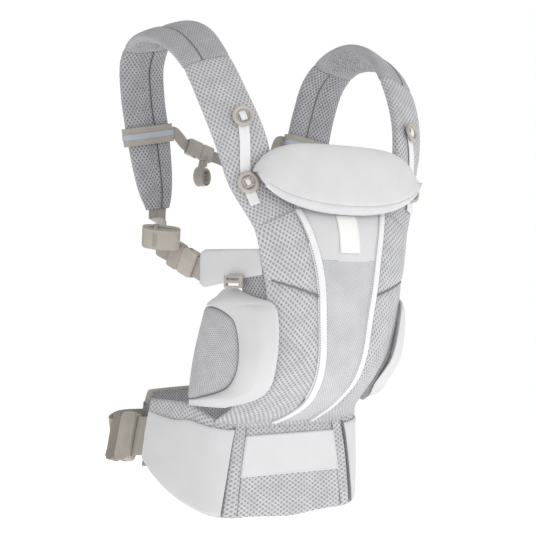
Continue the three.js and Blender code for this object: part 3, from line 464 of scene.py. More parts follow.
# %% Meshes from grids
def cloth_lengths(grid):
    """Millimetres on the cloth: along each row from its middle, and along the middle column from
    the first row."""
    steps = np.linalg.norm(np.diff(grid, axis=1), axis=2)
    u = np.concatenate([np.zeros((grid.shape[0], 1)), np.cumsum(steps, axis=1)], axis=1)
    u = u - u[:, u.shape[1] // 2, None]
    middle = grid[:, grid.shape[1] // 2]
    return u, np.broadcast_to(arc_length(middle)[:, None], u.shape)


def quads(rows, cols, wrap=False, first=0):
    """Corner numbers of the cells of a grid, column after column; wrap joins the last column to the
    first."""
    j, i = np.meshgrid(np.arange(rows - 1), np.arange(cols if wrap else cols - 1), indexing="ij")
    k = (i + 1) % cols
    cells = np.stack([j * cols + i, j * cols + k, (j + 1) * cols + k, (j + 1) * cols + i], -1)
    return cells.reshape(-1, 4) + first


def piece(name, points, faces, uv, material, mirror=False):
    """A mesh object from points in millimetres, faces, and a UV in millimetres for each point, with
    faces out."""
    points = np.array(points, float)
    if mirror:
        points[:, 0] *= -1
    mesh = bpy.data.meshes.new(name)
    mesh.from_pydata((points * 0.001).tolist(), [], [list(f) for f in faces])
    corners = np.zeros(len(mesh.loops), np.int32)
    mesh.loops.foreach_get("vertex_index", corners)
    layer = mesh.uv_layers.new(name="cloth")
    layer.data.foreach_set("uv", np.asarray(uv, np.float32)[corners].ravel())
    mesh.materials.append(material)
    shape = bmesh.new()
    shape.from_mesh(mesh)
    bmesh.ops.remove_doubles(shape, verts=shape.verts, dist=2e-6)
    bmesh.ops.recalc_face_normals(shape, faces=shape.faces)
    shape.to_mesh(mesh)
    shape.free()
    mesh.polygons.foreach_set("use_smooth", [True] * len(mesh.polygons))
    made = bpy.data.objects.new(name, mesh)
    link(made)
    return made


def pad(name, face, back, material, mirror=False):
    """A closed pad: the face grid, the back grid turned round, and walls joining their rims."""
    rows, cols = face.shape[:2]
    count = rows * cols
    front_cells = quads(rows, cols)
    back_cells = quads(rows, cols, first=count)[:, ::-1]
    index = np.arange(count).reshape(rows, cols)
    rim = np.r_[index[0, :-1], index[:-1, -1], index[-1, :0:-1], index[:0:-1, 0]]
    after = np.roll(rim, -1)
    walls = np.stack([after, rim, rim + count, after + count], -1)
    u, v = cloth_lengths(face)
    uv = np.stack([u, v], -1).reshape(-1, 2)
    points = np.vstack([face.reshape(-1, 3), back.reshape(-1, 3)])
    return piece(
        name, points, np.vstack([front_cells, back_cells, walls]), np.vstack([uv, uv]), material,
        mirror
    )


def sleeve(name, rings, material, mirror=False):
    """A closed form swept through rings of points; its seam lies opposite the middle column of each
    ring."""
    rows, cols = rings.shape[:2]
    seamed = np.concatenate([rings, rings[:, :1]], axis=1)
    u, v = cloth_lengths(seamed)
    points = seamed.reshape(-1, 3)
    uv = np.stack([u, v], -1).reshape(-1, 2)
    faces = [tuple(f) for f in quads(rows, cols + 1)]
    for row in (0, rows - 1):
        centre, start = len(points), row * (cols + 1)
        points = np.vstack([points, rings[row].mean(0)])
        uv = np.vstack([uv, uv[start + cols // 2]])
        faces += [(start + i, start + i + 1, centre) for i in range(cols)]
    return piece(name, points, faces, uv, material, mirror)


def signed_power(x, power):
    """The size of x to a power, with the sign of x."""
    return np.sign(x) * np.abs(x) ** power


def oval(count, boxy, start=0.0, boxy_up=None):
    """Unit outline: cos to the power boxy and sin to boxy_up, or boxy; 1 is an ellipse, near 0 a
    rectangle."""
    angle = np.linspace(0, 2 * math.pi, count, endpoint=False) + start
    return signed_power(np.cos(angle), boxy), signed_power(np.sin(angle), boxy_up or boxy)


def tape(name, line, across, width, thick, material, mirror=False, count=20, boxy=0.28):
    """A flat band with rounded edges: its middle follows line, its width lies along across, its
    thickness square to both."""
    tangent = unit(np.gradient(line, axis=0))
    side = squared(across, tangent)
    out = np.cross(side, tangent)
    a, b = oval(count, boxy, start=-math.pi / 2)
    wide = np.broadcast_to(np.asarray(width, float).reshape(-1, 1, 1) / 2, (len(line), 1, 1))
    reach = a[None, :, None] * wide * side[:, None]
    rings = line[:, None] + reach + b[None, :, None] * thick / 2 * out[:, None]
    return sleeve(name, rings, material, mirror)


def cord_along(name, line, radius, material, mirror=False, count=8):
    """A thin round cord or thread whose middle follows line."""
    tangent = unit(np.gradient(line, axis=0))
    up = np.where(np.abs(tangent[:, 2:3]) > 0.9, [[1.0, 0, 0]], [[0, 0, 1.0]])
    side = unit(np.cross(tangent, up))
    out = np.cross(side, tangent)
    a, b = oval(count, 1.0)
    rings = line[:, None] + radius * (a[:, None] * side[:, None] + b[:, None] * out[:, None])
    return sleeve(name, rings, material, mirror)


def stitches(name, lines, normals, material, pitch=3.4, share=0.7, radius=0.32, mirror=False):
    """A row of stitches along each line: every pitch millimetres one small bead, share of the pitch
    long."""
    around, slices = 6, np.linspace(-1, 1, 5)
    a, b = oval(around, 1.0)
    round_off = np.sqrt(np.clip(1 - slices**4, 0.04, 1))
    points, faces = [], []
    for line, normal in zip(lines, normals):
        arc = arc_length(line)
        count = max(2, int(arc[-1] / pitch))
        where = (np.arange(count) + 0.5) * arc[-1] / count
        centre = read(where, arc, line)
        way = unit(read(where + 0.5, arc, line) - read(where - 0.5, arc, line))
        out = unit(read(where, arc, np.broadcast_to(normal, line.shape)))
        side = unit(np.cross(way, out))
        half = pitch * share / 2
        ring = a[:, None] * side[:, None, None] + b[:, None] * out[:, None, None]
        body = centre[:, None, None] + slices[None, :, None, None] * half * way[:, None, None]
        body = body + ring * (radius * round_off)[None, :, None, None]
        body = body + (radius * 0.6 * (1 - slices**2))[None, :, None, None] * out[:, None, None]
        first = sum(len(p) for p in points)
        points.append(body.reshape(-1, 3))
        each = len(slices) * around
        base = quads(len(slices), around, wrap=True)
        faces += [tuple(f) for k in range(count) for f in (base + first + k * each)]
        for end in (0, len(slices) - 1):
            loop = np.arange(around) + end * around
            faces += [tuple(loop + first + k * each) for k in range(count)]
    points = np.vstack(points)
    uv = np.stack([points[:, 0] + points[:, 1], points[:, 2]], -1)
    return piece(name, points, faces, uv, material, mirror)


def belongs(item, stands_for=(), body="carrier"):
    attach(item, body)
    if stands_for:
        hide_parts(*stands_for)
    return item


SIDES = (("left", False), ("right", True))

# %% [markdown]
# ## Shoulder straps
# Each strap is a foam core in a sleeve of three fabrics: coarse spacer mesh up
# the front, a finer mesh over the shoulder, and coarse mesh again down the back,
# sewn to each other with cross seams. Over the shoulder and down the back the
# sleeve is closed by one long seam, on its outer face over the shoulder and on
# its inner face down the back, which pulls a valley into the padding. The inside
# of the bend is crumpled, because the same length of cloth has a shorter way to
# go. The strap's frame at any share of its length gives every point on it.

# %% Line of the strap
STRAP = [
    (82, -183, 349, 14, 50, 0), (102, -171, 386, 21, 53, 0), (115, -166, 430, 24, 56, 0),
    (126, -150, 474, 21, 56, 0), (133, -124, 518, 15, 56, 10), (138, -92, 549, 8, 60, 22),
    (140, -52, 565, 0, 60, 23), (139, -8, 565, -4, 60, 12), (135, 27, 543, -7, 61, 4),
    (128, 40, 505, -7, 61, 0), (119, 44, 460, -7, 61, 0), (110, 47, 412, -7, 54, 0),
    (104, 50, 384, -7, 44, 0), (102, 51, 369, -7, 34, 0),
]  # x, y, z, turn from straight across, width, tilt of the outer edge below the neck edge
STRAP_THICK = 15.0
SEAM_FRONT = 0.345  # share of the length at the front cross seam
SEAM_BACK = 0.63  # the same at the rear cross seam
SEAM_GAP = 0.001
STRAP_COLS = 72
STRAP_BOXY = (0.62, 0.78)  # roundness of the strap's section, across and outwards
_, strap_along, strap_length = spline(STRAP)


def strap_frame(share):
    """Middle line, tangent, side and outward directions, and width of the left strap at shares of
    its length."""
    share = np.clip(np.asarray(share, float), 0, 1)
    here = strap_along(share)
    ahead = strap_along(np.clip(share + 0.003, 0, 1))[:, :3]
    tangent = unit(ahead - strap_along(np.clip(share - 0.003, 0, 1))[:, :3])
    turn, tilt = np.radians(here[:, 3]), np.radians(here[:, 5])
    side = np.stack([np.cos(turn) * np.cos(tilt), np.sin(turn) * np.cos(tilt), -np.sin(tilt)], -1)
    side = squared(side, tangent)
    return here[:, :3], tangent, side, np.cross(side, tangent), here[:, 4]


def strap_point(share, across, out):
    """Points across millimetres to the strap's outer side and out millimetres from its middle."""
    middle, _, side, outward, _ = strap_frame(share)
    return middle + np.reshape(across, (-1, 1)) * side + np.reshape(out, (-1, 1)) * outward


def strap_taper(share):
    """Thickness share of the strap: full, and halved over the last 0.06 of its length."""
    return mix(0.5, 1.0, smooth((1 - share) / 0.06))


def strap_section():
    """Outline of the strap's section, starting at the middle of its inner face."""
    return oval(STRAP_COLS, STRAP_BOXY[0], -math.pi / 2, STRAP_BOXY[1])


def strap_rings(start, end, rows, valley=0.0, crumple=0.0, pinch=(True, True), closed=1):
    """Rings of the rounded section, pinched at its cross seams; closed 1 puts the valley outside."""
    share = np.linspace(start, end, rows)
    middle, _, side, outward, width = strap_frame(share)
    a, b = (x[None, :] for x in strap_section())
    from_start = (share - start)[:, None] * strap_length
    to_end = (end - share)[:, None] * strap_length
    full = np.ones((rows, 1))
    if pinch[0]:
        full = full * (1 - 0.16 * np.exp(-((from_start / 3.0) ** 2)))
    if pinch[1]:
        full = full * (1 - 0.16 * np.exp(-((to_end / 3.0) ** 2)))
    groove = 1 - valley * np.exp(-((a / 0.13) ** 2)) * (b * closed > 0)
    half = STRAP_THICK / 2 * full * strap_taper(share)[:, None] * groove
    place = share[:, None] * strap_length
    bend = np.exp(-(((share - 0.55) / 0.07) ** 2))[:, None]
    folds = crumple * bend * (b < 0.35) * (
        np.sin(place * 0.85 + 2.2 * np.sin(a * 4.0)) + 0.6 * np.sin(place * 1.7 + a * 9.0)
    )
    puff = 0.35 * waves(place, a * 30.0, 7, 34.0)
    across = a * width[:, None] / 2 * (1 - 0.02 * (full < 0.97))
    out = b * half + (folds + puff) * np.abs(b)
    rings = middle[:, None] + across[..., None] * side[:, None] + out[..., None] * outward[:, None]
    return np.roll(rings, STRAP_COLS // 2 if closed < 0 else 0, axis=1)[:, ::-1]


# %% Shoulder and back sleeves of each strap
for hand, flip in SIDES:
    # The shoulder sleeve takes the darker copy of the fine mesh: painted shade.
    over = strap_rings(SEAM_FRONT, SEAM_BACK - SEAM_GAP, 120, valley=0.36, crumple=1.5)
    belongs(
        sleeve("strap_shoulder_sleeve_" + hand, over, mesh_shoulder_shaded, flip),
        ["strap_top_" + hand]
    )
    # The back sleeve takes the darker copy of the strap mesh: painted shade.
    down = strap_rings(SEAM_BACK, 1.0, 110, valley=0.34, pinch=(True, False), closed=-1)
    belongs(
        sleeve("strap_back_sleeve_" + hand, down, mesh_strap_seamed_shaded, flip),
        ["strap_back_" + hand]
    )
print("strap length", round(strap_length, 1), "mm")

# %% [markdown]
# The tip of each strap carries a box of stitches with a cross in it, where the
# webbing below is sewn in. Stitches are small beads set along a line.

# %% Box and cross of stitches at the strap tips
BOX_LOW, BOX_HIGH, BOX_HALF = 0.955, 0.985, 11.0
corners = [(BOX_LOW, -BOX_HALF), (BOX_LOW, BOX_HALF), (BOX_HIGH, BOX_HALF), (BOX_HIGH, -BOX_HALF)]
box_runs = [(0, 1), (1, 2), (2, 3), (3, 0), (0, 2), (1, 3)]
for hand, flip in SIDES:
    lines, faces_out = [], []
    for first, last in box_runs:
        share = np.linspace(corners[first][0], corners[last][0], 14)
        across = np.linspace(corners[first][1], corners[last][1], 14)
        lines.append(strap_point(share, across, STRAP_THICK / 2 * strap_taper(share) * 0.98))
        faces_out.append(strap_frame(share)[3])
    belongs(
        stitches(
            "strap_tip_stitches_" + hand, lines, faces_out, stitch_thread, pitch=2.6, mirror=flip
        ),
    )


# %% [markdown]
# ### Strips and buttons
# A narrow tape lies on the front of each strap. A button is sewn on high, and a
# second one slides along the tape. Each button is a moulded ring with a rounded
# rim, turned here as a profile round an axis, with a bridge across its middle
# that holds a fold of white cloth.

# %% Strips
STRIP_START, STRIP_END = 0.035, 0.215
STRIP_OUT = 9.0
BUTTON_SHARES = {"slider": 0.078, "high": 0.2}


def strip_side(share):
    """The strip crosses the strap from STRIP_OUT outside its middle to as much inside it."""
    low, high = BUTTON_SHARES.values()
    return mix(STRIP_OUT, -STRIP_OUT, (np.asarray(share) - low) / (high - low))


for hand, flip in SIDES:
    share = np.linspace(STRIP_START, STRIP_END, 60)
    _, _, side, _, _ = strap_frame(share)
    line = strap_point(share, strip_side(share), STRAP_THICK / 2 + 1.5)
    belongs(
        tape("button_tape_" + hand, line, side, 11.5, 1.2, satin_tape, flip),
        ["button_strip_" + hand]
    )


# %% Buttons
def turned(name, profile, at, axis, material, count=48, mirror=False):
    """A solid turned round axis: profile is (radius, height) pairs, from the axis outwards and
    back."""
    axis = unit(np.asarray(axis, float))
    side = unit(np.cross(axis, (0.0, 0.0, 1.0)))
    other = np.cross(axis, side)
    a, b = oval(count, 1.0)
    profile = np.asarray(profile, float)
    ring = a[None, :, None] * side + b[None, :, None] * other
    rings = np.asarray(at) + profile[:, 0, None, None] * ring + profile[:, 1, None, None] * axis
    return sleeve(name, rings, material, mirror)


def ring_button(name, at, axis, material, mirror=False):
    """A button body: flat back, rounded rim 4.5 mm high, and a dished middle with a round-bottomed
    recess."""
    rim = np.linspace(-math.pi / 2, math.pi, 16)
    edge = np.stack([9.7 + 2.3 * np.cos(rim), 2.25 + 2.2 * np.sin(rim)], -1)
    inside = np.array([(7.2, 1.9), (6.9, 1.4), (6.4, 1.15), (3.0, 1.1), (0.01, 1.1)])
    return turned(
        name, np.vstack([[(0.01, 0.05)], edge, inside]), at, axis, material, mirror=mirror
    )


for hand, flip in SIDES:
    for kind, share in BUTTON_SHARES.items():
        _, tangent, side, out, _ = (x[0] for x in strap_frame([share]))
        lift = 0.8 if kind == "high" else 1.3
        at = strap_point([share], strip_side(share), STRAP_THICK / 2 + 2.2 + lift)[0]
        body = "carrier" if kind == "high" else "slider_" + hand
        disc = ring_button("button_" + kind + "_ring_" + hand, at, out, acetal_pale, flip)
        belongs(disc, ["button_" + kind + "_" + hand], body=body)
        if kind == "high":
            frames = [(tangent, side, 0.0, 5.2, 3.6)]
        else:
            frames = [
                (side, tangent, 4.4, 6.2, 1.1), (side, tangent, -4.4, 6.2, 1.1),
                (tangent, side, 0.0, 4.0, 2.6)
            ]
        for number, (way, square, shift, half, wide) in enumerate(frames):
            cloth = kind == "high" or number == 2
            along = np.linspace(-half, half, 12)
            bow = 1.9 + 0.9 * (1 - (along / half) ** 2)
            line = at + along[:, None] * way + shift * square + bow[:, None] * out
            bar = tape(
                f"button_{kind}_fold_{number}_{hand}", line, np.broadcast_to(square, line.shape),
                2 * wide, 1.1, pale_thread if cloth else acetal_pale, flip, boxy=0.6,
            )
            belongs(bar, body=body)


# %% [markdown]
# ## Body panel
# The panel is a shallow bucket: a middle of ribbed stretch mesh with a smooth
# top, and a side of padded spacer mesh on each hand. Its shape is a net of three
# curves, the middle, the seam under the rail, and the outer edge, each running
# from the belt up. A point is found between two of them at the same station.

# %% Panel surface
PANEL = [
    (112.5, -95, 27, -95, 88, -88), (122, -122, 23, -120, 86, -99),
    (140, -160, 21, -156, 86, -116), (165, -187, 25, -184, 85, -146),
    (192, -200, 28, -197, 83, -171), (234, -206, 32, -203, 84, -186),
    (270, -210, 36, -207, 88, -188), (300, -210, 41, -206, 97, -186),
    (330, -207, 49, -201, 105, -182), (350, -200, 56, -194, 109, -178),
    (372, -187, 64, -183, 112, -172), (412, -176, 72, -173, 114, -165),
]  # height, then y of the middle, x and y of the rail's seam, x and y of the outer edge
panel_mid = spline([(0, p[1], p[0]) for p in PANEL])[0]
panel_rail = spline([(p[2], p[3], p[0]) for p in PANEL])[0]
panel_edge = spline([(p[4], p[5], p[0]) for p in PANEL])[0]
LAST = len(PANEL) - 1
fine_stations = np.linspace(0, LAST, 2000)
fine_heights = panel_rail(fine_stations)[:, 2]


def station_of(height):
    """Station at which the rail's seam has this height."""
    return np.interp(height, fine_heights, fine_stations)


def panel_point(k, s, depth):
    """Station k, share s across (0 middle, 1 rail, 2 edge), depth millimetres to the wearer."""
    k, s = np.broadcast_arrays(np.asarray(k, float), np.asarray(s, float))
    mid, rail, edge = panel_mid(k), panel_rail(k), panel_edge(k)
    a = np.abs(s)
    inner = np.stack([
        rail[..., 0] * a,
        mix(mid[..., 1], rail[..., 1], a * a),
        mix(mid[..., 2], rail[..., 2], a * a),
    ], -1)
    f = a - 1
    bow = f * mix(f, 1.0, 0.35)
    outer = np.stack([
        mix(rail[..., 0], edge[..., 0], f),
        mix(rail[..., 1], edge[..., 1], bow),
        mix(rail[..., 2], edge[..., 2], f),
    ], -1)
    p = np.where((a <= 1)[..., None], inner, outer)
    up = panel_mid(np.minimum(k + 0.02, LAST)) - panel_mid(np.maximum(k - 0.02, 0))
    inward = unit(np.stack([np.zeros_like(a), up[..., 2], -up[..., 1]], -1))
    inward[..., 0] = -0.3 * np.clip(a / 2, 0, 1)
    p = p + unit(inward) * np.broadcast_to(np.asarray(depth, float), a.shape)[..., None]
    p[..., 0] *= np.where(s < 0, -1, 1)
    return p


def rail_edges(k):
    """Shares across at which the cloth meets the inner and the outer edge of the rail."""
    rail = panel_rail(k)[..., 0]
    edge = panel_edge(k)[..., 0]
    return 1 - 4.2 / rail, 1 + 4.2 / (edge - rail)


def rounded(t, power=4.0):
    """Thickness share from one rim to the other: nearly full, and round at both rims."""
    return np.clip(1 - np.abs(2 * t - 1) ** power, 0, 1) ** 0.5


# %% Middle of the panel
def middle_panel(name, low, high, rows, material, stands_for, crown):
    """The cloth between the rails from height low to high, bowed out by crown millimetres."""
    k = np.linspace(station_of(low), station_of(high), rows)[:, None]
    u, v = shares(61, rows)
    s = (2 * u - 1) * rail_edges(k)[0]
    swell = crown * np.sin(math.pi * u) * np.sin(math.pi * np.clip(v * 1.1, 0, 1))
    ripple = 0.35 * waves(u * 60, v * 180, 3, 55.0)
    face = panel_point(k, s, 0.3 - swell + ripple)
    back = panel_point(k, s, 2.2 - swell + ripple)
    belongs(pad(name, face, back, material), stands_for)


middle_panel("middle_stretch_panel", 113.5, 299.4, 150, stretch_mesh, ["panel_mesh"], -1.2)
middle_panel(
    "middle_smooth_panel", 298.0, 408.0, 90, brushed_cloth, ["panel_top"], 0.6
)

# %% Sides of the panel
SIDE_TOP, SIDE_RISE = 334.0, 20.0


def side_grid(depth_front, depth_back, u, v):
    """Front and back grids of a side panel: u from rail to edge, v from belt to strap, with a
    padded crown."""
    top = station_of(SIDE_TOP + SIDE_RISE * (1 - u))
    k = mix(station_of(113.0), top, v)
    level = panel_rail(k)[..., 2]
    wrap = 0.12 * np.exp(-(((level - 225) / 75) ** 4)) + 0.22 * np.exp(-(((level - 112) / 15) ** 2))
    s = mix(rail_edges(k)[1], 2.0 + wrap, u)
    crown = rounded(u, 6.0) * (0.4 + 0.6 * rounded(0.5 * v, 10.0))
    gathers = 0.9 * np.exp(-(((level - 135) / 22) ** 2)) * np.sin(
        u * 26.0 + 2.0 * np.sin(level * 0.09)
    )
    dart = np.exp(-(((level - dart_height(u)) / 3.5) ** 2)) * 1.6
    middle = (depth_front + depth_back) / 2
    half = (depth_back - depth_front) / 2
    front = panel_point(k, s, middle - half * crown - 1.6 * np.sin(math.pi * u) + gathers + dart)
    back = panel_point(k, s, middle + half * crown - 1.0 * np.sin(math.pi * u) + 0.3 * gathers)
    return front, back


def dart_height(u):
    """The dart's seam climbs from the rail to the outer edge, straight across the side panel."""
    return mix(260.0, 277.0, u)


for hand, flip in SIDES:
    front, back = side_grid(0.0, 5.0, *shares(70, 200))
    belongs(
        pad("side_panel_padded_" + hand, front, back, mesh_outer, flip),
        ["side_panel_" + hand]
    )
    u = np.linspace(0.01, 0.99, 50)
    k = station_of(dart_height(u))
    dart = panel_point(k, mix(rail_edges(k)[1], 2.0, u), -0.2 - 1.6 * np.sin(math.pi * u) + 0.6)
    belongs(cord_along("dart_piping_" + hand, dart, 1.1, dark_piping, flip))

# %% [markdown]
# The front sleeve of the strap grows out of the side panel without a seam: its
# first rings are drawn towards the side panel's upper edge, all the way round.

# %% Front sleeve of each strap
FRONT_ROWS = 110
a, b = (x[::-1] for x in strap_section())
u = (a + 1) / 2
k = station_of(SIDE_TOP + SIDE_RISE * (1 - u) - 4)
panel_ring = panel_point(k, mix(rail_edges(k)[1], 2.0, u), 2.5 - 2.2 * b)
front_rings = strap_rings(0.0, SEAM_FRONT - SEAM_GAP, FRONT_ROWS, pinch=(False, True))
away = smooth(np.linspace(0, SEAM_FRONT, FRONT_ROWS) / 0.075)[:, None, None]
front_rings = mix(panel_ring[None], front_rings, away)
for hand, flip in SIDES:
    front = sleeve("strap_front_sleeve_" + hand, front_rings, mesh_strap, flip)
    belongs(front, ["strap_front_" + hand])

# %% [markdown]
# ### Rails
# A tape, lightly filled, covers the seam between the middle and each side. Its
# two edges are stitched down, which leaves it rounded in between.

# %% Rails and their stitching
for hand, flip in SIDES:
    k = np.linspace(station_of(113.5), station_of(SIDE_TOP + SIDE_RISE), 220)
    middle = panel_point(k, 1.0, 0.0)
    inward = unit(panel_point(k, 1.0, 1.0) - middle)
    side = squared(np.array([1.0, 0, 0]), inward)
    a, b = oval(28, 0.75)
    wide = 4.6 * a[None, :, None] * side[:, None]
    rings = middle[:, None] + wide - (2.1 * b[None, :, None] + 0.1) * inward[:, None]
    belongs(
        sleeve("rail_tape_" + hand, np.roll(rings, 7, axis=1), satin_tape, flip),
        ["rail_" + hand]
    )
    lines = [middle + shift * side - 0.9 * inward for shift in (-4.3, 4.3)]
    belongs(
        stitches(
            "rail_stitches_" + hand, lines, [-inward, -inward], stitch_thread, pitch=2.8,
            radius=0.45, mirror=flip
        ),
    )

# %% [markdown]
# ### Label
# A plain woven label, bare of any mark, with a row of stitches round it.

# %% Plain label
LABEL_MIDDLE, LABEL_HALF_HIGH, LABEL_HALF_WIDE = 328, 21, 13.5
LABEL_STITCH = LABEL_HALF_WIDE - 1.2
k = np.linspace(
    station_of(LABEL_MIDDLE - LABEL_HALF_HIGH), station_of(LABEL_MIDDLE + LABEL_HALF_HIGH), 30
)[:, None]
x = np.linspace(-LABEL_HALF_WIDE, LABEL_HALF_WIDE, 20)[None, :]
rail_x = panel_rail(k)[..., 0]
label = pad(
    "plain_label", panel_point(k, x / rail_x, -1.5), panel_point(k, x / rail_x, -0.7), label_weave
)
belongs(label, ["label"])
rim_k = [k[[0] * 20, 0], k[:, 0], k[[-1] * 20, 0], k[:, 0]]
rim_x = [
    np.linspace(-LABEL_STITCH, LABEL_STITCH, 20), np.full(30, LABEL_STITCH),
    np.linspace(LABEL_STITCH, -LABEL_STITCH, 20), np.full(30, -LABEL_STITCH),
]
label_lines = [panel_point(a, b / panel_rail(a)[..., 0], -1.6) for a, b in zip(rim_k, rim_x)]
belongs(
    stitches(
        "label_stitches", label_lines, [(0.0, -1.0, 0.0)] * 4, pale_thread, pitch=2.2, radius=0.22
    ),
)


# %% [markdown]
# ## Head support
# A cushion of foam in smooth cloth stands in front of the top of the panel and
# folds down forwards. Its face is fullest at the middle and thins to its
# corners. Piping runs along both edges, a stitched seam lies above the lower
# one, and small folds run up from it where the cloth is eased round the curve.

# %% Head support surface
HEM = 0.12  # height share of the seam that sews the cushion's lower band on
HEAD_HALF = 112.0


def head_edges(x):
    """Lower and upper edge of the cushion at x: two flat curves that turn into each other at the
    round ends."""
    share = np.abs(x) / HEAD_HALF
    low, high = 350 + 28 * share**2.4, 426 - 20 * share**4
    half = (high - low) / 2 * np.sqrt(np.clip(1 - share**9, 0, 1)) + 0.6
    return (low + high) / 2 - half, (low + high) / 2 + half


def head_face(u, v, side, lift=0.0):
    """u across and v up, from 0 to 1; side -1 is the face and 1 the lining, each a crown over the
    middle surface."""
    x = (2 * u - 1) * HEAD_HALF
    low, high = head_edges(x)
    across = np.sqrt(np.clip(1 - (np.abs(x) / (HEAD_HALF + 1)) ** 3, 0, 1))
    upward = np.clip(1 - np.abs(2 * v - 1) ** 2.6, 0, 1) ** 0.5
    half = 0.6 + 9.0 * across * upward
    half = half - 0.9 * (side < 0) * np.exp(-(((v - HEM) / 0.018) ** 2)) * across
    folds = 0.4 * np.exp(-v * 5.5) * np.sin(x * 0.42 + 1.5 * np.sin(x * 0.07)) * (v > 0)
    folds = folds + 1.1 * np.exp(
        -(((x + 78 - 30 * v) / 11) ** 2)
    ) - 0.9 * np.exp(-(((x - 74 + 22 * v) / 12) ** 2))
    broad = 0.9 * waves(x, v * 70, 11, 90.0)
    middle = -203.5 + 0.0009 * x * x + (v - 0.5) * 10
    y = middle + side * (half + lift) + (folds + broad) * upward * (side < 0)
    return np.stack(np.broadcast_arrays(x, y, mix(low, high, v)), -1)


u = 0.5 - 0.5 * np.cos(np.linspace(0, math.pi, 190))[None, :]
v = (0.5 - 0.5 * np.cos(np.linspace(0, math.pi, 90)))[:, None]
cushion = pad("head_cushion_cover", head_face(u, v, -1), head_face(u, v, -0.35), brushed_cloth)
belongs(cushion, ["head_face"], body="head_support")
# The lining's dark mesh paints the shade on the cushion's back.
lining = pad("head_cushion_lining", head_face(u, v, 0.45), head_face(u, v, 1), mesh_lining_shaded)
belongs(lining, ["head_back"], body="head_support")

# %% Piping round the cushion
t = np.linspace(0.04, 0.96, 160)
low_edge = head_face(t, np.zeros_like(t) + 0.012, 0.0)
high_edge = head_face(t[::-1], np.ones_like(t) - 0.012, 0.0)
for row, edge, radius in (("low", low_edge, 1.25), ("high", high_edge, 0.9)):
    piping = cord_along("head_cushion_piping_" + row, edge, radius, pale_piping)
    belongs(piping, body="head_support")
t = np.linspace(0.05, 0.95, 150)
hem = head_face(t, np.full_like(t, HEM), -1)
hem_stitches = stitches(
    "head_cushion_hem_stitches", [hem], [(0.0, -1.0, 0.0)], stitch_thread, pitch=2.8, radius=0.24
)
belongs(hem_stitches, body="head_support")


# %% [markdown]
# ## Waist belt
# The belt is a foam-filled tube of spacer mesh across the front and a padded
# wing on each hand, whose outside is smooth cloth with a band of mesh left above
# it. Its plan is one curve, mirrored; its lower and upper edges are functions of
# the share of the way round.

# %% Belt curve and edges
BELT_HALF_THICK = 6.0
WING_SPLIT = 0.44
WAIST_Z = 92.0  # height of the middle of the waist webbing
belt_line = spline([
    (0, -86, 0), (40, -86, 0), (72, -86, 0), (80, -86, 0),
    (98, -77, 0), (108, -55, 0), (119, -17, 0), (130, 22, 0),
])[1]


def belt_low(t):
    """Lower edge: nearly level over the front, then rising faster and faster to the wing's end."""
    return 4 * smooth(t / 0.3) + 62 * np.clip((t - 0.3) / 0.7, 0, 1) ** 2.2


def belt_high(t):
    """Upper edge: level over the front, and a smooth rise on the wing."""
    return mix(111, 136, smooth((t - 0.34) / 0.34))


def belt_lean(t, height):
    """Outward lean of the wing below its webbing, one part in five at the end and none in front."""
    return 0.2 * smooth((np.abs(t) - 0.5) / 0.5) * (WAIST_Z - height)


def wing_seam(v):
    """Share at which the front meets the wing: the seam leans forwards as height share v grows."""
    return WING_SPLIT - 0.07 * v


def belt_frame(t):
    """Plan point and outward direction at share t; negative shares are the wearer's right."""
    a = np.abs(t)
    sign = np.where(t < 0, -1.0, 1.0)
    p = belt_line(a)
    tangent = unit(belt_line(np.minimum(a + 0.004, 1)) - belt_line(np.maximum(a - 0.004, 0)))
    at = np.stack([sign * p[..., 0], p[..., 1], 0 * a], -1)
    out = np.stack([sign * tangent[..., 1], -tangent[..., 0], 0 * a], -1)
    return at, out


def belt_point(t, height, lift):
    """Points at signed share t and this height, lift millimetres outside the belt's middle."""
    at, out = belt_frame(t)
    p = at + (lift + belt_lean(t, height))[..., None] * out
    p[..., 2] = height
    return p


def belt_rings(start, end, rows):
    """Rounded sections of the belt between two seams, pinched at both, with soft waves."""
    a, b = oval(72, 0.3, start=-math.pi / 2)
    row = np.linspace(0, 1, rows)[:, None]
    t = mix(start((b + 1) / 2)[None, :], end((b + 1) / 2)[None, :], row)
    low, high = belt_low(np.abs(t)), belt_high(np.abs(t))
    height = mix(low, high, (b[None, :] + 1) / 2)
    ends = np.minimum(row, 1 - row) * (rows - 1) / 4.0
    thick = BELT_HALF_THICK * mix(0.72, 1.0, smooth(ends))
    puffs = 0.5 * waves(t * 340, b[None, :] * 50, 5, 60.0)
    return belt_point(t, height, a[None, :] * thick + puffs * np.abs(a)[None, :])


# %% Belt front and wings
def wing_band(u):
    """Height of the mesh band bare above the smooth panel, u from the front seam to the end."""
    return 5 + 9 * smooth(u * 1.5) + 7 * np.sin(math.pi * u)


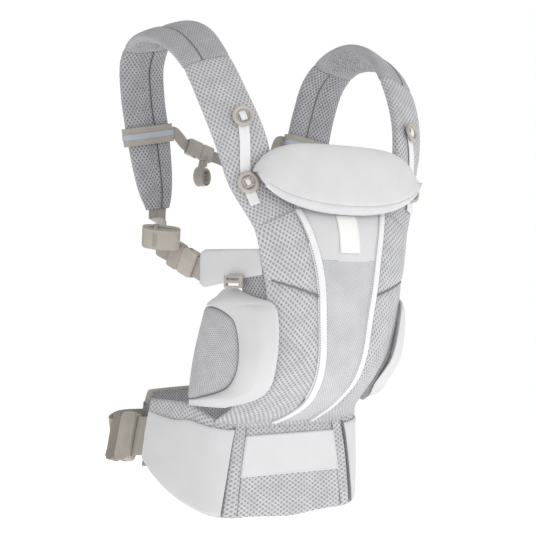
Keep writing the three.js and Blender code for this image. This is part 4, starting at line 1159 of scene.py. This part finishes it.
front_belt = sleeve(
    "belt_front_cover", belt_rings(lambda v: -wing_seam(v), wing_seam, 160), mesh_outer
)
belongs(front_belt, ["belt_front"])
for hand, flip in SIDES:
    rings = belt_rings(lambda v: wing_seam(v) + 0.004, lambda v: 1.0 + 0 * v, 120)
    wing = sleeve("belt_wing_cover_" + hand, rings, mesh_outer, flip)
    belongs(wing, ["wing_" + hand])
    u, v = shares(90, 50)
    t = mix(wing_seam(v) + 0.008, 0.99, u)
    height = mix(belt_low(t) + 1.5, belt_high(t) - wing_band(u), v)
    bulge = 1.2 * np.sin(math.pi * v) ** 0.6 + 0.4 * waves(u * 190, v * 90, 9, 70.0)
    tuck = -2.2 * (1 - rounded(v, 14.0)) * (v < 0.5)
    face = belt_point(t, height, BELT_HALF_THICK + 1.5 + bulge + tuck)
    back = belt_point(t, height, BELT_HALF_THICK + 0.2 + tuck)
    panel = pad("wing_smooth_panel_" + hand, face, back, brushed_cloth, flip)
    belongs(panel, ["wing_face_" + hand])
    u = np.linspace(0.01, 0.98, 80)
    share = mix(wing_seam(0.9) + 0.012, 0.98, u)
    line = belt_point(share, belt_high(share) - wing_band(u) - 3.4, BELT_HALF_THICK + 2.5)
    hem_stitches = stitches(
        "wing_hem_stitches_" + hand, [line], [belt_frame(share)[1]], pale_thread,
        pitch=2.8, radius=0.28, mirror=flip,
    )
    belongs(hem_stitches)

# %% [markdown]
# ### Seams and patch on the belt
# Piping marks the seam between the front and each wing, and a second seam runs
# beside the patch. The patch is loop fastener in a plain hem.

# %% Belt piping, seams and patch
for hand, flip in SIDES:
    rise = np.linspace(0.03, 0.97, 50)
    for kind, share, reach, radius in (
        (
            "seam_piping_", wing_seam(rise) + 0.002, 0.99, 0.8
        ), ("side_seam_", mix(0.365, 0.295, rise), 0.98, 0.55),
    ):
        line = belt_point(
            share, mix(belt_low(share), belt_high(share), rise), BELT_HALF_THICK * reach
        )
        belongs(cord_along("belt_" + kind + hand, line, radius, dark_piping, flip))

# The panel's foot is tucked into the top of the belt, all the way across.
s = np.linspace(-2.2, 2.2, 181)[None, :]
v = np.linspace(0, 1, 14)[:, None]
head = panel_point(station_of(115.0), s, 1.2)
foot = np.stack(
    [
        head[..., 0], np.interp(np.abs(head[..., 0]), (0, 80, 98, 108), (-86, -86, -77, -55)),
        0 * s + 104.0
    ], -1
)
hem = mix(foot, head, v[..., None])
belongs(pad("panel_hem", hem, hem + (0.0, 1.6, 0.0), mesh_outer))

PATCH_LOW, PATCH_HIGH = 51.0, 99.0
u = np.linspace(-1, 1, 50)[None, :]
v = np.linspace(0, 1, 24)[:, None]


def patch_grid(y, grow=0.0):
    """A trapezium, 140 mm wide at its foot and 124 mm at its head, at depth y."""
    half = mix(70.0, 62.0, v) + grow
    return np.stack(
        np.broadcast_arrays(u * half, y + 0.0 * u, mix(PATCH_LOW - grow, PATCH_HIGH + grow, v)), -1
    )


belongs(
    pad("belt_patch_loop", patch_grid(-93.7), patch_grid(-92.2), loop_fastener),
    ["front_patch"]
)
inner = [(-68.0, 52.6), (68.0, 52.6), (60.4, 97.4), (-60.4, 97.4)]
patch_lines = []
for first in range(4):
    a, b = np.array(inner[first]), np.array(inner[(first + 1) % 4])
    t = np.linspace(0, 1, 30)[:, None]
    xz = mix(a, b, t)
    patch_lines.append(np.stack([xz[:, 0], np.full(30, -93.85), xz[:, 1]], -1))
belongs(
    stitches(
        "belt_patch_stitches", patch_lines, [(0.0, -1.0, 0.0)] * 4, pale_thread, pitch=2.6,
        radius=0.26
    ),
)

# %% [markdown]
# ### Lumbar pad
# A second pad lies against the wearer's back, in the dark lining mesh, whose
# darkness is painted shade, with a bound edge of webbing tape.

# %% Lumbar pad
lumbar_line = spline(
    [(-120, 50, 0), (-92, 66, 0), (-46, 86, 0), (0, 93, 0), (46, 86, 0), (92, 66, 0), (120, 50, 0)]
)[1]
t = np.linspace(0, 1, 170)
at = lumbar_line(t)
tangent = unit(np.gradient(at, axis=0))
out = np.stack([-tangent[:, 1], tangent[:, 0], 0 * t], -1)
end = 1 - np.abs(2 * t - 1)
trim = 14 * (1 - smooth(end / 0.12))
half_thick = 6 * mix(0.55, 1, smooth(end / 0.1))
low, high = 58 + trim, 144 - trim
a, b = oval(60, 0.42, start=-math.pi / 2)
rings = at[:, None] + (a[None, :] * half_thick[:, None])[..., None] * out[:, None]
rings[..., 2] = ((low + high) / 2)[:, None] + b[None, :] * ((high - low) / 2)[:, None]
belongs(sleeve("lumbar_pad_cover", rings, mesh_lining_shaded), ["lumbar_pad"])
for row, height in (("low", low + 1.2), ("high", high - 1.2)):
    line = at.copy()
    line[:, 2] = height
    a4, b4 = oval(20, 0.6, start=-math.pi / 2)
    ring = line[:, None] + (
        a4[None, :] * (half_thick[:, None] * 0.62 + 0.6)
    )[..., None] * out[:, None]
    ring[..., 2] += b4[None, :] * 2.0
    belongs(sleeve("lumbar_binding_" + row, ring, taupe_webbing))

# %% [markdown]
# ## Waist webbing
# Broad ribbed webbing leaves the right wing, passes the buckle and runs round
# the back to the left wing. A tape is a rounded flat section swept along its
# line, and is modelled straight away in its worn shape, since it is held at both
# ends.

# %% Waist webbing
buckle_way = unit(np.array([-0.27, 0.963, -0.1]))
buckle_face = squared(np.array([-0.963, -0.27, 0.34]), buckle_way)
buckle_up = np.cross(buckle_way, buckle_face)
wing_end = np.array([-130.0, 22.0, WAIST_Z])
socket_at = wing_end + 23 * buckle_way
plug_at = socket_at + 26 * buckle_way
up = np.array([0.0, 0.0, 1.0])
WAIST_WIDE = 48.0

line = wing_end + np.linspace(-3, 27, 24)[:, None] * buckle_way
across = np.broadcast_to(buckle_up, line.shape)
web = tape("wing_webbing_tape", line, across, WAIST_WIDE, 1.8, taupe_webbing, count=64, boxy=0.16)
belongs(web, ["wing_webbing"])
# A short tab of folded tape hangs from the webbing beside the socket half.
line = wing_end - 2 * buckle_way + np.linspace(-19, -37, 16)[:, None] * buckle_up
across = np.broadcast_to(buckle_way, line.shape)
belongs(tape("waist_buckle_tab", line, across, 7, 2.2, dark_webbing, count=30, boxy=0.2))
for shift in (-2.0, 2.0):
    row = line[9:] + shift * buckle_way + 1.3 * buckle_face
    tab_stitches = stitches(
        f"waist_tab_stitches_{int(shift) + 2}", [row], [buckle_face], pale_thread, pitch=2.2,
        radius=0.35
    )
    belongs(tab_stitches)
start = plug_at + 13 * buckle_way
left_end = np.array([130.0, 22.0, WAIST_Z])
stations = [
    start, start + 8 * buckle_way, (-130, 101, WAIST_Z), (-84, 107, WAIST_Z), (0, 106, WAIST_Z),
    (74, 100, WAIST_Z), (118, 76, WAIST_Z), (136, 50, WAIST_Z), left_end + (0.3, 1, 0),
]
share = np.linspace(0, 1, 150)
line = spline(stations)[1](share)
across = unit(mix(buckle_up, up, smooth(share * 4)[:, None]))
web = tape("waist_webbing_tape", line, across, WAIST_WIDE, 1.8, taupe_webbing, count=64, boxy=0.16)
belongs(web, ["waist_webbing"])

# %% [markdown]
# ## Buckles
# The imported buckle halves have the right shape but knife-sharp edges. Moulded
# parts leave the tool with rounded edges, which catch a thin highlight, so each
# is copied, its flat triangles are merged, and a bevel eases its edges.


# %% Eased copies of moulded parts
def eased(cad_node, name, material, width=0.7, body="carrier"):
    """A copy of a moulded part with its flat faces merged and its edges rounded to width
    millimetres."""
    mesh = nodes[cad_node].data.copy()
    mesh.name = name
    mesh.materials.clear()
    mesh.materials.append(material)
    shape = bmesh.new()
    shape.from_mesh(mesh)
    bmesh.ops.remove_doubles(shape, verts=shape.verts, dist=1e-5)
    bmesh.ops.dissolve_limit(
        shape, angle_limit=math.radians(2.0), verts=shape.verts, edges=shape.edges
    )
    shape.to_mesh(mesh)
    shape.free()
    mesh.polygons.foreach_set("use_smooth", [True] * len(mesh.polygons))
    copy = bpy.data.objects.new(name, mesh)
    link(copy)
    bevel = copy.modifiers.new("eased_edges", "BEVEL")
    bevel.width = width * 0.001
    bevel.segments = 3
    bevel.limit_method = "ANGLE"
    bevel.angle_limit = math.radians(32)
    bevel.harden_normals = True
    belongs(copy, [cad_node], body=body)


eased("waist_buckle_socket", "waist_buckle_socket_shell", acetal_taupe, body="waist_socket")
eased("waist_buckle_plug", "waist_buckle_plug_body", acetal_dark)
for row in ("low", "high"):
    arm = "waist_buckle_arm_" + row
    eased(arm, arm + "_part", acetal_dark, 0.4, body="waist_arm_" + row)
for hand in ("left", "right"):
    eased(
        "side_buckle_socket_" + hand, "side_buckle_socket_shell_" + hand, acetal_pale, 0.5,
    )
    eased(
        "side_buckle_plug_" + hand, "side_buckle_plug_body_" + hand, acetal_taupe, 0.5,
        body="side_plug_" + hand
    )
    eased("leg_clip_" + hand, "ladder_lock_" + hand, acetal_pale, 0.5, body="leg_clip_" + hand)
for half, part, body in (("socket", "shell", "chest_strap"), ("plug", "body", "chest_plug")):
    eased("chest_buckle_" + half, f"chest_buckle_{half}_{part}", acetal_taupe, 0.4, body=body)

# %% [markdown]
# ## Side flaps, their webbing and the rolled ends
# A smooth flap leaves the body panel on each hand and carries the pale socket
# half of a buckle. Webbing comes down from the strap's tip to the plug half, and
# its spare length is rolled up flat and held by an elastic.

# %% Flaps
flap_end = np.array([115.0, -76.0, 292.0])
side_way = unit(np.array([0.296, 0.855, 0.428]))
side_face = squared(np.array([0.93, -0.32, 0.02]), side_way)
side_across = np.cross(side_face, side_way)


def flap_grid(u, v, depth):
    """u from the panel to the buckle, v up: the flap widens towards the buckle and is bowed
    outwards 4 mm."""
    root = np.stack(np.broadcast_arrays(98.0 + 0 * u, -181.0 + 0 * u, mix(283.0, 311.0, v)), -1)
    tall = 44 * (1 - 0.3 * np.clip((u - 0.84) / 0.16, 0, 1) ** 3)
    end = np.stack(np.broadcast_arrays(115.0 + 0 * u, -76.0 + 0 * u, 292 + (v - 0.5) * tall), -1)
    p = root + (end - root) * u[..., None]
    p[..., 0] += 4 * np.sin(math.pi * u) + depth
    return p


u, v = np.meshgrid(np.linspace(0, 1, 90), np.linspace(0, 1, 40))
for hand, flip in SIDES:
    swell = rounded(v, 8.0) * rounded(u, 14.0)
    ripples = 0.5 * waves(u * 100, v * 40, 21, 40.0)
    step = 0.8 * (u > 0.53)
    face = flap_grid(u, v, -2.0 + (2.1 + step + ripples) * swell)
    back = flap_grid(u, v, -2.0 - 2.0 * swell)
    belongs(
        pad("side_flap_" + hand, face, back, brushed_cloth, flip),
        ["arm_flap_" + hand]
    )
    t = np.linspace(0.02, 0.98, 30)
    seam = flap_grid(np.full(30, 0.53), t, 0.25)
    belongs(
        stitches(
            "side_flap_seam_" + hand, [seam], [(1.0, 0.0, 0.0)], pale_thread, pitch=2.6,
            radius=0.28, mirror=flip
        ),
    )
    t = np.linspace(0.3, 1.0, 40)
    edge = flap_grid(t, np.zeros(40) + 0.0, -1.6)
    belongs(cord_along("side_flap_piping_" + hand, edge, 1.0, pale_piping, flip))
    # Short webbing that ties the socket half to the flap's end.
    line = flap_end + np.linspace(-10, 10, 16)[:, None] * side_way
    tie = tape(
        "flap_tie_webbing_" + hand, line, np.broadcast_to(side_across, line.shape), 24.5, 1.7,
        taupe_webbing, flip, count=40, boxy=0.18
    )
    belongs(tie)

# %% [markdown]
# Below each flap a small gusset of the dark lining mesh fills the corner
# between the panel's edge and the top of the leg pad; its darkness is painted shade in that corner.

# %% Gussets under the flaps, dark with painted shade
u, v = np.meshgrid(np.linspace(0, 1, 40), np.linspace(0, 1, 30))
rear = mix(np.array([101.0, -150.0, 258.0]), np.array([104.0, -148.0, 287.0]), v[..., None])
fore = mix(np.array([88.0, -185.0, 250.0]), np.array([92.0, -184.0, 290.0]), v[..., None])
gusset = mix(fore, rear, u[..., None])
gusset[..., 0] += 2.5 * np.sin(math.pi * u)
inner_gusset = gusset - (1.6, 0.0, 0.0)
for hand, flip in SIDES:
    belongs(
        pad("flap_gusset_painted_shade_" + hand, gusset, inner_gusset, mesh_lining_shaded, flip)
    )

# %% Webbing from the strap's tip
side_socket_at = flap_end + 6 * side_way
side_plug_at = side_socket_at + 22 * side_way
web_end = side_plug_at + 15 * side_way
tip_point, _, tip_side, _, _ = (x[0] for x in strap_frame([1.0]))
stations = [
    tip_point + (0, 0, 6.0), tip_point + (2, -3, -14), (113, 15, 341), web_end + 24 * side_way,
    web_end + 8 * side_way, web_end
]
line = spline(stations)[1](np.linspace(0, 1, 110))
share = np.linspace(0, 1, 110)[:, None]
upright = np.array([0, 0, 1.0]) - side_way[2] * side_way
across = unit(mix(tip_side, upright, smooth(share * 1.7)))
for hand, flip in SIDES:
    web = tape(
        "strap_webbing_tape_" + hand, line, across, 25, 1.8, taupe_webbing, flip, count=48,
        boxy=0.18
    )
    belongs(web, ["strap_webbing_" + hand])

# %% [markdown]
# The roll is one length of webbing wound flat: a spiral whose turns lie close
# together, stretched into a long loop, and swept across the webbing's width.

# %% Rolled webbing
roll_along = unit(np.array([-0.848, -0.53, -0.1]))
roll_face = squared(np.array([0.53, -0.848, -0.6]), roll_along)
roll_up = np.cross(roll_face, roll_along)
roll_at = np.array([150.0, -49.0, 328.0])
TURNS = 3.4


def flat_spiral(turns, width, thick, steps):
    """A spiral squeezed flat: its radius grows evenly, its long side is stretched by a power of the
    cosine."""
    angle = np.linspace(0.0, turns * 2 * math.pi, steps)
    grow = mix(0.22, 1.0, angle / angle[-1])
    long_way = signed_power(np.cos(angle), 0.7) * (width / 2 - 6 * (1 - grow))
    return long_way, signed_power(np.sin(angle), 0.8) * (thick / 2) * grow


for hand, flip in SIDES:
    a, b = flat_spiral(TURNS, 44.0, 14.5, 260)
    line = roll_at + a[:, None] * roll_along + b[:, None] * roll_face
    spool = tape(
        "webbing_roll_turns_" + hand, line, np.broadcast_to(roll_up, line.shape), 25, 1.7,
        taupe_webbing, flip, count=32, boxy=0.2
    )
    belongs(spool, ["webbing_roll_" + hand])
    a, b = oval(60, 0.5)
    loop = roll_at - 6 * roll_along + a[:, None] * 14.6 * roll_up + b[:, None] * 7.6 * roll_face
    loop = np.vstack([loop, loop[:1]])
    band = tape(
        "roll_elastic_" + hand, loop, np.broadcast_to(roll_along, loop.shape), 5.0, 0.9,
        dark_webbing, flip
    )
    belongs(band)

# %% [markdown]
# ## Leg pads
# Each leg pad wraps the rear half of the panel's edge: a smooth, thickly padded
# rim, and a mesh inset towards the rear with a curved seam between them. Three
# plan points at each height, rear, pull and fore, steer a quadratic curve.

# %% Leg pad surface
LEG = [
    (134, (113, -52), (109, -84), (96, -104)), (146, (113, -53), (108, -110), (78, -143)),
    (158, (113, -55), (108, -130), (72, -158)), (190, (112, -62), (106, -150), (78, -183)),
    (234, (108, -76), (102, -158), (82, -193)), (252, (106, -84), (101, -156), (86, -190)),
    (266, (104, -104), (103, -128), (100, -158)),
]
leg_curves = [spline([(*row[i], row[0]) for row in LEG])[0] for i in (1, 2, 3)]


def leg_point(s, v, depth):
    """s from the rear edge to the fore edge along a quadratic curve, v up the pad, depth
    outwards."""
    s, v, depth = np.broadcast_arrays(
        np.asarray(s, float), np.asarray(v, float), np.asarray(depth, float)
    )
    a, b, c = (curve(v * (len(LEG) - 1)) for curve in leg_curves)
    w = s[..., None]
    p = a * (1 - w) ** 2 + b * 2 * w * (1 - w) + c * w**2
    p[..., 2] += smooth((v - 0.78) / 0.22) * (9 * np.sin(math.pi * s) - 4)  # the top is an arch
    along = (b - a) * (1 - w) + (c - b) * w
    out = unit(np.stack([-along[..., 1], along[..., 0], 0 * s], -1))
    return p + depth[..., None] * out


def leg_split(v):
    """Where the mesh inset gives way to the smooth rim, as a share of the way round."""
    return 0.55 * np.clip(np.sin(math.pi * np.clip((v - 0.1) / 0.71, 0, 1)), 0, 1) ** 0.6


u, v = shares(80, 130)
for hand, flip in SIDES:
    puff = np.clip(4 * u * (1 - u), 0, 1) ** 0.5 * smooth(v * 6) * smooth((1 - v) * 6) * (
        1 - 0.5 * smooth(u * 2.5 - 1.5)
    )
    soft = 0.5 * waves(u * 80, v * 140, 31, 60.0) * puff
    s = mix(leg_split(v) + 0.006, 1.0, u)
    rim = pad(
        "leg_rim_cushion_" + hand, leg_point(s, v, 2.4 + 11.6 * puff + soft),
        leg_point(s, v, 2.0 * (1 - puff)), brushed_cloth, flip
    )
    belongs(rim, ["leg_pad_rim_" + hand])
    share = mix(0.12, 0.8, v)
    s = mix(0.0, np.maximum(0.03, leg_split(share) - 0.004), u)
    dome = rounded(u, 3.0) * rounded(v, 6.0)
    inset = pad(
        "leg_mesh_inset_" + hand, leg_point(s, share, 1.6 + 7.4 * dome), leg_point(s, share, 0.8),
        mesh_fine, flip
    )
    belongs(inset, ["leg_pad_mesh_" + hand])
    t = np.linspace(0.13, 0.79, 90)
    seam = leg_point(leg_split(t), t, 3.2)
    belongs(cord_along("leg_inset_piping_" + hand, seam, 0.9, stitch_thread, flip))

# %% [markdown]
# ## Chest strap
# A band of webbing hugs the back part of each strap and slides on it. The right
# band ends in the socket half, and the left one in long webbing that sags to the
# plug half. A thin reflective tape is sewn round each band.

# %% Bands and their webbing
CHEST_AT = 0.832  # share of the strap's length
CHEST_WIDE = 14.0
BAND_GAP = 2.4


def band_line(share, grow, count=120):
    """The outline of the strap at a share of its length, grown outwards, as a closed loop."""
    middle, _, side, outward, width = (x[0] for x in strap_frame([share]))
    angle = np.linspace(0, 2 * math.pi, count + 1)
    a = signed_power(np.cos(angle), 0.55) * (width / 2 + grow)
    b = signed_power(np.sin(angle), 0.65) * (STRAP_THICK / 2 + grow)
    return middle + a[:, None] * side + b[:, None] * outward


_, band_way, _, _, _ = (x[0] for x in strap_frame([CHEST_AT]))
for hand, flip in SIDES:
    loop = band_line(CHEST_AT, BAND_GAP + 1.0)
    band = tape(
        "chest_band_loop_" + hand, loop, np.broadcast_to(band_way, loop.shape), 22, 1.9,
        taupe_webbing, flip, count=36, boxy=0.2
    )
    belongs(band, ["chest_band_" + hand], body="chest_strap")
    loop = band_line(CHEST_AT, BAND_GAP + 2.3)
    shine = tape(
        "chest_band_reflector_" + hand, loop, np.broadcast_to(band_way, loop.shape), 7, 0.5,
        reflective_tape, flip, count=20, boxy=0.3
    )
    belongs(shine, body="chest_strap")

chest_way = unit(np.array([0.94, 0.0, -0.3]))
sewn_left = strap_point([CHEST_AT], [-30.5 - BAND_GAP - 1.0], [0.0])[0]
sewn_right = sewn_left * (-1, 1, 1)
chest_socket_at = np.array([-62.0, sewn_left[1], sewn_left[2] - 15])
chest_plug_at = chest_socket_at + 20 * chest_way
in_slot = chest_socket_at + 4.5 * chest_way
line = spline(
    [sewn_right, sewn_right + (6, 0, 0), in_slot - 7 * chest_way, in_slot]
)[1](np.linspace(0, 1, 50))
across = np.broadcast_to(up, line.shape)
web = tape("chest_short_webbing", line, across, CHEST_WIDE, 1.6, taupe_webbing, count=30, boxy=0.2)
belongs(web, body="chest_strap")
start = chest_plug_at + 14 * chest_way
stations = [
    start, start + 26 * chest_way, (18, 43, start[2] - 34), (50, 44, start[2] - 28),
    sewn_left + (-9, 0, 0), sewn_left
]
line = spline(stations)[1](np.linspace(0, 1, 120))
across = np.broadcast_to(up, line.shape)
web = tape("chest_long_webbing", line, across, CHEST_WIDE, 1.6, dark_webbing, count=30, boxy=0.2)
belongs(web, body="chest_strap")

# %% Coiled spare end of the chest webbing
angle = np.linspace(math.pi * 0.5, math.pi * 4.2, 150)
grow = mix(1.0, 0.62, (angle - angle[0]) / (angle[-1] - angle[0]))
tilt = math.cos(0.35), math.sin(0.35)
x, z = 9.6 * grow * np.cos(angle), 12.5 * grow * np.sin(angle)
coil_at = chest_plug_at + (3, 0, -32)
line = np.stack([coil_at[0] + x * tilt[0], coil_at[1] + x * tilt[1], coil_at[2] + z], -1)
neck = np.linspace(chest_plug_at + (6, 0, -7), line[0], 20)[:-1]
line = np.vstack([neck, line])
across = np.broadcast_to(np.array([-tilt[1], tilt[0], 0.0]), line.shape)
tail = tape("chest_webbing_coil", line, across, CHEST_WIDE, 1.5, taupe_webbing, count=30, boxy=0.2)
belongs(tail, ["chest_webbing_tail"], body="chest_plug")

# %% [markdown]
# ## Finish

# %% Finish
bpy.context.view_layer.update()
